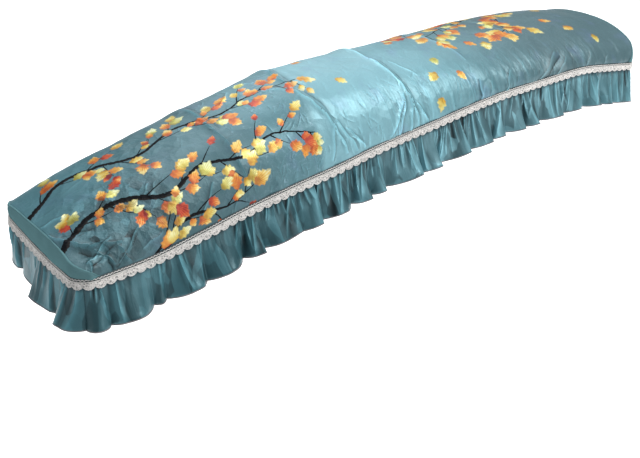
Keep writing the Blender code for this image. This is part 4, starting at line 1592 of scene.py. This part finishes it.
def set_camera():
    """Camera at the photograph's viewing angle."""
    data = bpy.data.cameras.new("camera")
    data.sensor_width = SENSOR_WIDTH
    data.lens = SENSOR_WIDTH * FOCAL_PIXELS / PHOTO_WIDTH
    data.clip_end = 50.0
    camera = bpy.data.objects.new("camera", data)
    camera.location = CAMERA_PLACE
    camera.rotation_euler = (math.radians(90 - CAMERA_DOWN), 0.0, math.radians(CAMERA_HEADING))
    bpy.context.scene.collection.objects.link(camera)
    bpy.context.scene.camera = camera


def set_world():
    """Soft light from all round, brighter from above."""
    world = bpy.data.worlds.new("studio")
    world.use_nodes = True
    tree = world.node_tree
    around = Value(tree.nodes.new("ShaderNodeTexCoord").outputs["Generated"])
    glow = maths("POWER", rising(measure(around, WORLD_SIDE, "DOT_PRODUCT"), 0.45, 0.80), 1.5)
    strength = glow * WORLD_BRIGHT + WORLD_DIM
    plug_all(tree.nodes["Background"].inputs, {"Color": WORLD_COLOUR, "Strength": strength})
    bpy.context.scene.world = world
    bpy.context.scene.view_settings.view_transform = "Standard"


def set_lights():
    for name, place, target, size, power, colour in LIGHTS:
        light = bpy.data.lights.new(name, "AREA")
        light.size = size
        light.energy = power
        light.color = colour
        lamp = bpy.data.objects.new(name, light)
        lamp.location = place
        lamp.visible_camera = False
        bpy.context.scene.collection.objects.link(lamp)
        aside, ahead, up = np.array(target) - np.array(place)
        lamp.rotation_euler = (math.atan2(math.hypot(aside, ahead), -up), 0.0, math.atan2(-aside, ahead))


def make_floor():
    """Plain pale floor that glows behind the cover and fades to a pale grey before it."""
    reach, level = FLOOR_REACH, FLOOR_LEVEL
    corners = [(-reach, -reach, level), (reach, -reach, level), (reach, reach, level), (-reach, reach, level)]
    material, shader, place = new_material("floor_white")
    white = rising(measure(place, FLOOR_SIDE, "DOT_PRODUCT"), *FLOOR_FADE)
    paint = mix(noise(place, 3.0)[0], (0.93, 0.93, 0.93, 1), (0.95, 0.95, 0.95, 1))
    plug_all(shader, {"Base Color": mix(white, FLOOR_GREY, paint), "Roughness": 0.9,
                      "Emission Strength": white * FLOOR_GLOW, "Emission Color": (1.0, 1.0, 1.0, 1.0)})
    link_piece("floor", corners, [(0, 1, 2, 3)], [material])


def main():
    set_camera()
    satin, crease, thread = satin_group(), crease_group(), thread_group()
    printed = printed_satin(satin, leaf_group(), twig_group(), crease)
    back = plain_satin("satin_back", satin, BACK_TEAL, 0.6, 0.1)
    frill_satin = plain_satin("plain_satin", satin, FRILL_TEAL, shine=0.40, crease=crease)
    end_satin = plain_satin("end_satin", satin, END_TEAL, 0.7, 0.0, 0.0)
    cream = thread_material("lace_thread", thread, CREAM, CREAM_SHADE)
    rose_grey = thread_material("overlock_thread", thread, ROSE_GREY, ROSE_GREY_SHADE)
    threads, stitches = thread_tree(), stitch_tree()

    top, top_points = make_top_panel([printed, back])
    tail = make_end_panel("end_panel_tail_cloth", -1, top_points, end_satin)
    head = make_end_panel("end_panel_head_cloth", 1, top_points, end_satin)
    frill_points, frill_plane, crests = frill_grid()
    frill, frill_faces = cloth_piece("frill_cloth", frill_points, SATIN, [frill_satin], closed=True)
    lay_plane(frill, frill_plane)
    corner_points = frill_plane[..., :2].reshape(-1, 2)[frill_faces]
    lay_on_faces(frill, "gather_crest", print_lines(corner_points, crests), 1.0)
    overlock = make_hem_overlock(frill_points, stitches, rose_grey)
    hem_line = chain(frill_points[0] + (0.0, 0.0, -0.0002))
    hem_cord = make_threads("hem_edge_thread", hem_line, HEM_CORD, threads, rose_grey, 5)
    net = make_lace_net(net_material())
    cords = make_threads("lace_cords", lace_cords(), CORD, threads, cream)
    lace = make_threads("lace_threads", lace_threads(), THREAD, threads, cream)
    lace_stitches = make_lace_stitches(stitches, cream)
    # Dark band behind the lace's heading: painted shadow of the seam
    seam_shadow_band = make_seam_shadow_band(plain_satin("seam_shadow_band", satin, SEAM_SHADOW_TEAL, 0.4, 0.0))

    for piece, node_name, slot in (
        (top, "top_panel", "printed_satin"),
        (tail, "end_panel_tail", "plain_satin"),
        (head, "end_panel_head", "plain_satin"),
        (frill, "frill", "plain_satin"),
        (overlock, "frill", "plain_satin"),
        (hem_cord, "frill", "plain_satin"),
        (net, "lace_trim", "lace"),
        (cords, "lace_trim", "lace"),
        (lace, "lace_trim", "lace"),
        (seam_shadow_band, "lace_trim", "plain_satin"),
        (lace_stitches, "lace_trim", "lace"),
    ):
        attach(piece, "root")
        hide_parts(node_name)
    set_world()
    set_lights()
    make_floor()


main()
